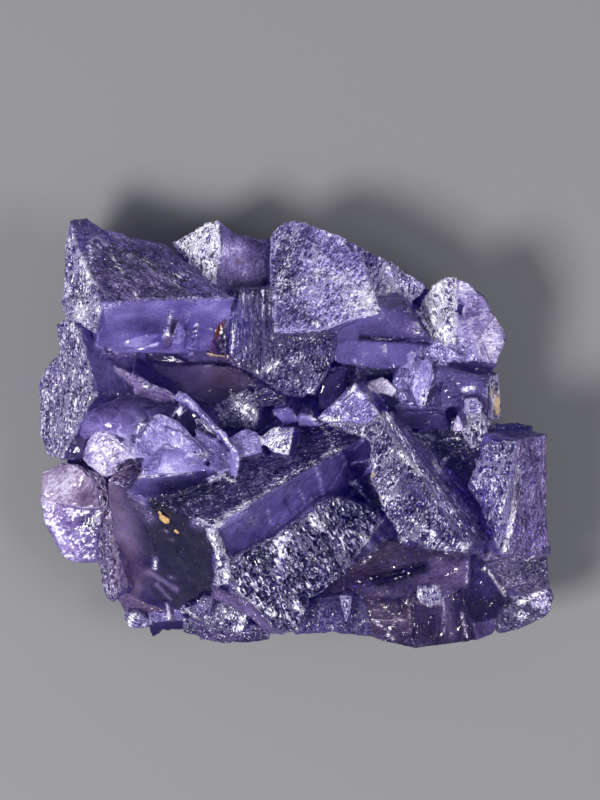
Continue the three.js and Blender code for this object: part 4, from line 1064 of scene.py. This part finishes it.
    # Pits and chips smaller than the steps: dots of 0.12 mm, one in each 0.5 mm or so.
    pits = add(tree, "TexVoronoi", {"Vector": lie, "Scale": 2.0})
    dots = add(tree, "MapRange", {"Value": pits, "From Min": 0.2, "From Max": 0.08, "To Max": 0.5})
    kept = add(tree, "SeparateColor", {0: pits.outputs["Color"]})
    dots = add(tree, "Math", {0: dots, 1: kept}, operation="MULTIPLY")
    # Healed cracks: thin bright lines between pieces about 4 mm across, shown here and there.
    crack = add(tree, "VectorMath", {0: wave, 1: lie}, operation="ADD")
    crack = add(tree, "TexVoronoi", {"Vector": crack, "Scale": 0.25}, feature="DISTANCE_TO_EDGE")
    crack = {"Value": crack, "From Min": 0.015, "From Max": 0.0, "To Max": 0.4}
    crack = add(tree, "MapRange", crack)
    shown = add(tree, "MapRange", {"Value": patches, "From Min": 0.56, "From Max": 0.66})
    crack = add(tree, "Math", {0: crack, 1: shown}, operation="MULTIPLY")
    # Dust: a faint bloom with a grain of 0.2 mm, thicker where the flecks are.
    grit = add(tree, "TexNoise", {"Vector": lie, "Scale": 4.5, "Detail": 2.0})
    dust = add(tree, "MapRange", {"Value": grit, "From Min": 0.48, "From Max": 0.85})
    dust = add(tree, "Math", {0: dust, 1: read["fleck_and_glint"]}, operation="MULTIPLY")
    # The white: frost and painted glints, with the real scratches, pits, cracks and dust.
    frost_glint_and_marks = frost_and_glint
    for mark in (scored, dots, crack, dust):
        frost_glint_and_marks = add(tree, "Math", {0: frost_glint_and_marks, 1: mark}, operation="MAXIMUM")

    # Veils: the milkiness comes and goes over about 5 mm, and is pitted at 0.2 mm where it's frosted.
    veil = add(tree, "TexNoise", {"Vector": lie, "Scale": 0.2, "Detail": 2.0})
    mist = add(tree, "Math", {0: veil, 1: 2.2, 2: -0.18}, operation="MULTIPLY_ADD")
    mist = add(tree, "Math", {0: striae, 1: 0.08, 2: mist}, operation="MULTIPLY_ADD")
    ground = add(tree, "Math", {0: grit, 1: level}, operation="ADD")
    ground = add(tree, "Math", {0: ground, 1: 0.95}, operation="SUBTRACT")
    deep = add(tree, "Math", {0: read["frosted"], 1: 2.1, 2: 0.2}, operation="MULTIPLY_ADD")
    ground = add(tree, "Math", {0: ground, 1: deep, 2: 1.0}, operation="MULTIPLY_ADD")
    ground = add(tree, "Math", {0: ground, 1: 0.15}, operation="MAXIMUM")
    mist = add(tree, "Math", {0: mist, 1: ground}, operation="MULTIPLY")
    mist = add(tree, "Math", {0: read["milky"], 1: mist}, operation="MULTIPLY")
    # Iron soaks in along cracks: its edge is ragged at about 0.4 mm.
    ragged = add(tree, "TexNoise", {"Vector": lie, "Scale": 2.4, "Detail": 3.0, "Roughness": 0.65})
    rust = add(tree, "Math", {0: read["rust"], 1: ragged}, operation="ADD")
    rust = add(tree, "MapRange", {"Value": rust, "From Min": 0.75, "From Max": 1.25})
    # Flecks, veils and iron all cover the clear crystal.
    cover = add(tree, "Math", {0: frost_glint_and_marks, 1: mist}, operation="MAXIMUM")
    cover = add(tree, "Math", {0: cover, 1: rust}, operation="MAXIMUM")
    clear = add(tree, "Math", {0: 1.0, 1: cover}, operation="SUBTRACT", use_clamp=True)

    # Clear crystal takes its colour from far inside, so it is deeper than the veils in it.
    deep_violet = {0: read["pink"], 6: srgb("#5640b0"), 7: srgb("#643e8c")}
    deep_violet = add(tree, "Mix", deep_violet, data_type="RGBA").outputs[2]
    violet = {0: read["pink"], 6: srgb("#8673d0"), 7: srgb("#a284b4")}
    violet = add(tree, "Mix", violet, data_type="RGBA").outputs[2]
    veiled = add(tree, "MapRange", {"Value": mist, "From Max": 0.22})
    violet = add(tree, "Mix", {0: veiled, 6: deep_violet, 7: violet}, data_type="RGBA").outputs[2]
    # The milkier it is, the paler: little light has been drunk on the way out.
    milk = add(tree, "Math", {0: mist, 1: 2.6}, operation="POWER")
    milk = add(tree, "Math", {0: milk, 1: 0.6}, operation="MULTIPLY")
    pale = add(tree, "Mix", {0: milk, 6: violet, 7: srgb("#d2cde0")}, data_type="RGBA").outputs[2]
    # white over the violet: frost, painted glints and the marks
    pale = add(tree, "Mix", {0: frost_glint_and_marks, 6: pale, 7: srgb("#f2eef8")}, data_type="RGBA").outputs[2]
    iron = {0: read["ochre"], 6: srgb("#4a1c12"), 7: srgb("#e2c49c")}
    iron = add(tree, "Mix", iron, data_type="RGBA").outputs[2]
    stained = add(tree, "Mix", {0: rust, 6: pale, 7: iron}, data_type="RGBA").outputs[2]
    rough = add(tree, "Math", {0: read["frosted"], 1: 0.14, 2: 0.06}, operation="MULTIPLY_ADD")

    surface = {"Base Color": stained, "Roughness": rough, "IOR": 1.434, "Normal": tipped}
    surface = add(tree, "BsdfPrincipled", {**surface, "Transmission Weight": clear})
    body = {"Color": skin.depth_colour, "Density": skin.depth}
    body = add(tree, "VolumeAbsorption", body)
    add(tree, "OutputMaterial", {"Surface": surface, "Volume": body})
    return material


def iron_oxide_crust():
    """Limonite, settled as a powdery crust: ochre, dull and grainy, with a grit of 0.25 mm."""
    material, tree = bare_material("iron_oxide_crust")
    place = add(tree, "TexCoord").outputs["Object"]
    grit = add(tree, "TexNoise", {"Vector": place, "Scale": 1 / (0.25 * MM), "Detail": 3.0})
    colour = {0: grit, 6: srgb("#6e3f1a"), 7: srgb("#e8c489")}
    colour = add(tree, "Mix", colour, data_type="RGBA").outputs[2]
    bump = add(tree, "Bump", {"Height": grit, "Strength": 0.5, "Distance": 0.1 * MM})
    surface = add(tree, "BsdfPrincipled", {"Base Color": colour, "Roughness": 0.8, "Normal": bump})
    add(tree, "OutputMaterial", {"Surface": surface})
    return material


def painted_floor(colour):
    """Board, painted matt: even and without gloss."""
    material, tree = bare_material("painted_floor")
    surface = add(tree, "BsdfPrincipled", {"Base Color": colour, "Roughness": 0.9})
    add(tree, "OutputMaterial", {"Surface": surface})
    return material


# ------------------------------------------------------------------ operators

# The floor's half size, and its drop, which keeps it clear of the crystals' flat underside.
FLOOR_HALF, FLOOR_DROP = 3.0, 0.25 * MM
SKY_COLOUR, SKY_STRENGTH = srgb("#c9cdd6"), 0.45
# The lights' places and sizes, in m.
KEY_LIGHT = ((-0.31, -0.2, 0.5), 0.2)
FILL_LIGHT = ((0.42, -0.1, 0.42), 0.3)
# The place that the camera looks straight down on: half-way up the crystals, and a little past their
# middle, so that they lie low in its view.
VIEW_MIDDLE = (0.525 * MM, 4.06 * MM, 11 * MM)
# The focal length, in mm. At 0.5 m the long side of the view takes in 100 mm.
LENS = 180.0


class FLUORITE_OT_stage(bpy.types.Operator):
    """Floor, lights and camera"""

    bl_idname = "fluorite.stage"
    bl_label = "Stage"

    def execute(self, context):
        settings = context.scene.fluorite_stage
        scene = context.scene
        mesh = bpy.data.meshes.new("floor")
        signs = ((-1, -1), (1, -1), (1, 1), (-1, 1))
        corners = [(x * FLOOR_HALF, y * FLOOR_HALF, -FLOOR_DROP) for x, y in signs]
        mesh.from_pydata(corners, [], [(0, 1, 2, 3)])
        mesh.materials.append(painted_floor(settings.floor_colour))
        floor = in_scene("floor", mesh)

        world = bpy.data.worlds.new("studio")
        world.use_nodes = True
        sky = world.node_tree.nodes["Background"]
        sky.inputs["Color"].default_value = (*SKY_COLOUR, 1.0)
        sky.inputs["Strength"].default_value = SKY_STRENGTH
        scene.world = world

        scene.view_settings.view_transform = "Standard"
        lights = (("key", *KEY_LIGHT, settings.key_power), ("fill", *FILL_LIGHT, settings.fill_power))
        for name, place, size, power in lights:
            lamp = bpy.data.lights.new(name, "AREA")
            lamp.size = size
            lamp.energy = power
            holder = in_scene(name, lamp)
            holder.location = place
            holder.rotation_euler = (-Vector(place)).to_track_quat("-Z", "Y").to_euler()

        lens = bpy.data.cameras.new("camera")
        lens.lens = LENS
        lens.clip_start = 0.02
        camera = in_scene("camera", lens)
        camera.location = VIEW_MIDDLE
        camera.location.z += settings.camera_height
        scene.camera = camera
        return {"FINISHED"}


class FLUORITE_OT_crystals(bpy.types.Operator):
    """The crystals' skin, with its steps, ribs, frost and glass"""

    bl_idname = "fluorite.crystals"
    bl_label = "Crystals"

    def execute(self, context):
        skin = context.scene.fluorite_skin
        solid, tree = solid_in_mm(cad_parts[NODE])
        coarser = 1.0
        pitch = skin.pitch / MM * coarser
        fine = with_modifier(with_chips(solid, tree), "REMESH", mode="VOXEL", voxel_size=pitch)
        moved = carve(fine, solid, tree, skin)
        fine = thin_out(fine, moved, skin.faces)
        store_finish(fine, solid, tree)
        set_points(fine, wander(vectors_of(fine, "co"), skin.bend / MM) * MM)
        fine.name = "crystals"
        fine.materials.clear()
        fine.materials.append(fluorite_grown_and_etched(skin))
        crystals = in_scene("crystals", fine)
        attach(crystals, "root")
        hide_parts(NODE)
        return {"FINISHED"}


class FLUORITE_OT_iron(bpy.types.Operator):
    """Grains of iron oxide caught on the crystals"""

    bl_idname = "fluorite.iron"
    bl_label = "Iron oxide grains"

    def execute(self, context):
        _, tree = solid_in_mm(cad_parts[NODE])
        work = bmesh.new()
        for number, ((x, y), size) in enumerate(GRAINS):
            at, way = below(tree, x, y)
            turn = way.to_track_quat("Z", "Y")
            lump = bmesh.ops.create_icosphere(work, subdivisions=3, radius=size / 2)["verts"]
            for v in lump:
                p = np.array([v.co[:]]) / size
                rough = 1 + 0.25 * swell(p, 0.9, number)[0] + 0.12 * swell(p, 0.35, number + 2)[0]
                # a grain is longer than it is wide, and lies flat on the face, a little sunk in
                v.co = Vector((v.co.x * 1.15 * rough, v.co.y * 0.85 * rough, v.co.z * 0.5 * rough))
                v.co = turn @ v.co + at + way * size * 0.06
        co = wander(np.array([v.co[:] for v in work.verts]), context.scene.fluorite_skin.bend / MM)
        for v, place in zip(work.verts, co):
            v.co = place
        bmesh.ops.scale(work, vec=(MM,) * 3, verts=work.verts)
        mesh = mesh_of(work, "iron_oxide_grains")
        mesh.materials.append(iron_oxide_crust())
        grains = in_scene("iron_oxide_grains", mesh)
        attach(grains, "root")
        return {"FINISHED"}


class FLUORITE_PT_parts(bpy.types.Panel):
    """Lists the pieces and their settings"""

    bl_label = "Fluorite cluster"
    bl_space_type = "VIEW_3D"
    bl_region_type = "UI"
    bl_category = "Fluorite"

    def draw(self, context):
        column = self.layout.column()
        for made in (FLUORITE_OT_stage, FLUORITE_OT_crystals, FLUORITE_OT_iron):
            column.operator(made.bl_idname)
        for settings in (context.scene.fluorite_skin, context.scene.fluorite_stage):
            for name in settings.__annotations__:
                column.prop(settings, name)


CLASSES = (
    FluoriteSkin,
    FluoriteStage,
    FLUORITE_OT_stage,
    FLUORITE_OT_crystals,
    FLUORITE_OT_iron,
    FLUORITE_PT_parts,
)


def register():
    for made in CLASSES:
        bpy.utils.register_class(made)
    bpy.types.Scene.fluorite_skin = PointerProperty(type=FluoriteSkin)
    bpy.types.Scene.fluorite_stage = PointerProperty(type=FluoriteStage)


def unregister():
    del bpy.types.Scene.fluorite_stage
    del bpy.types.Scene.fluorite_skin
    for made in reversed(CLASSES):
        bpy.utils.unregister_class(made)


def main():
    register()
    bpy.ops.fluorite.stage()
    bpy.ops.fluorite.crystals()
    bpy.ops.fluorite.iron()


if __name__ == "__main__":
    main()
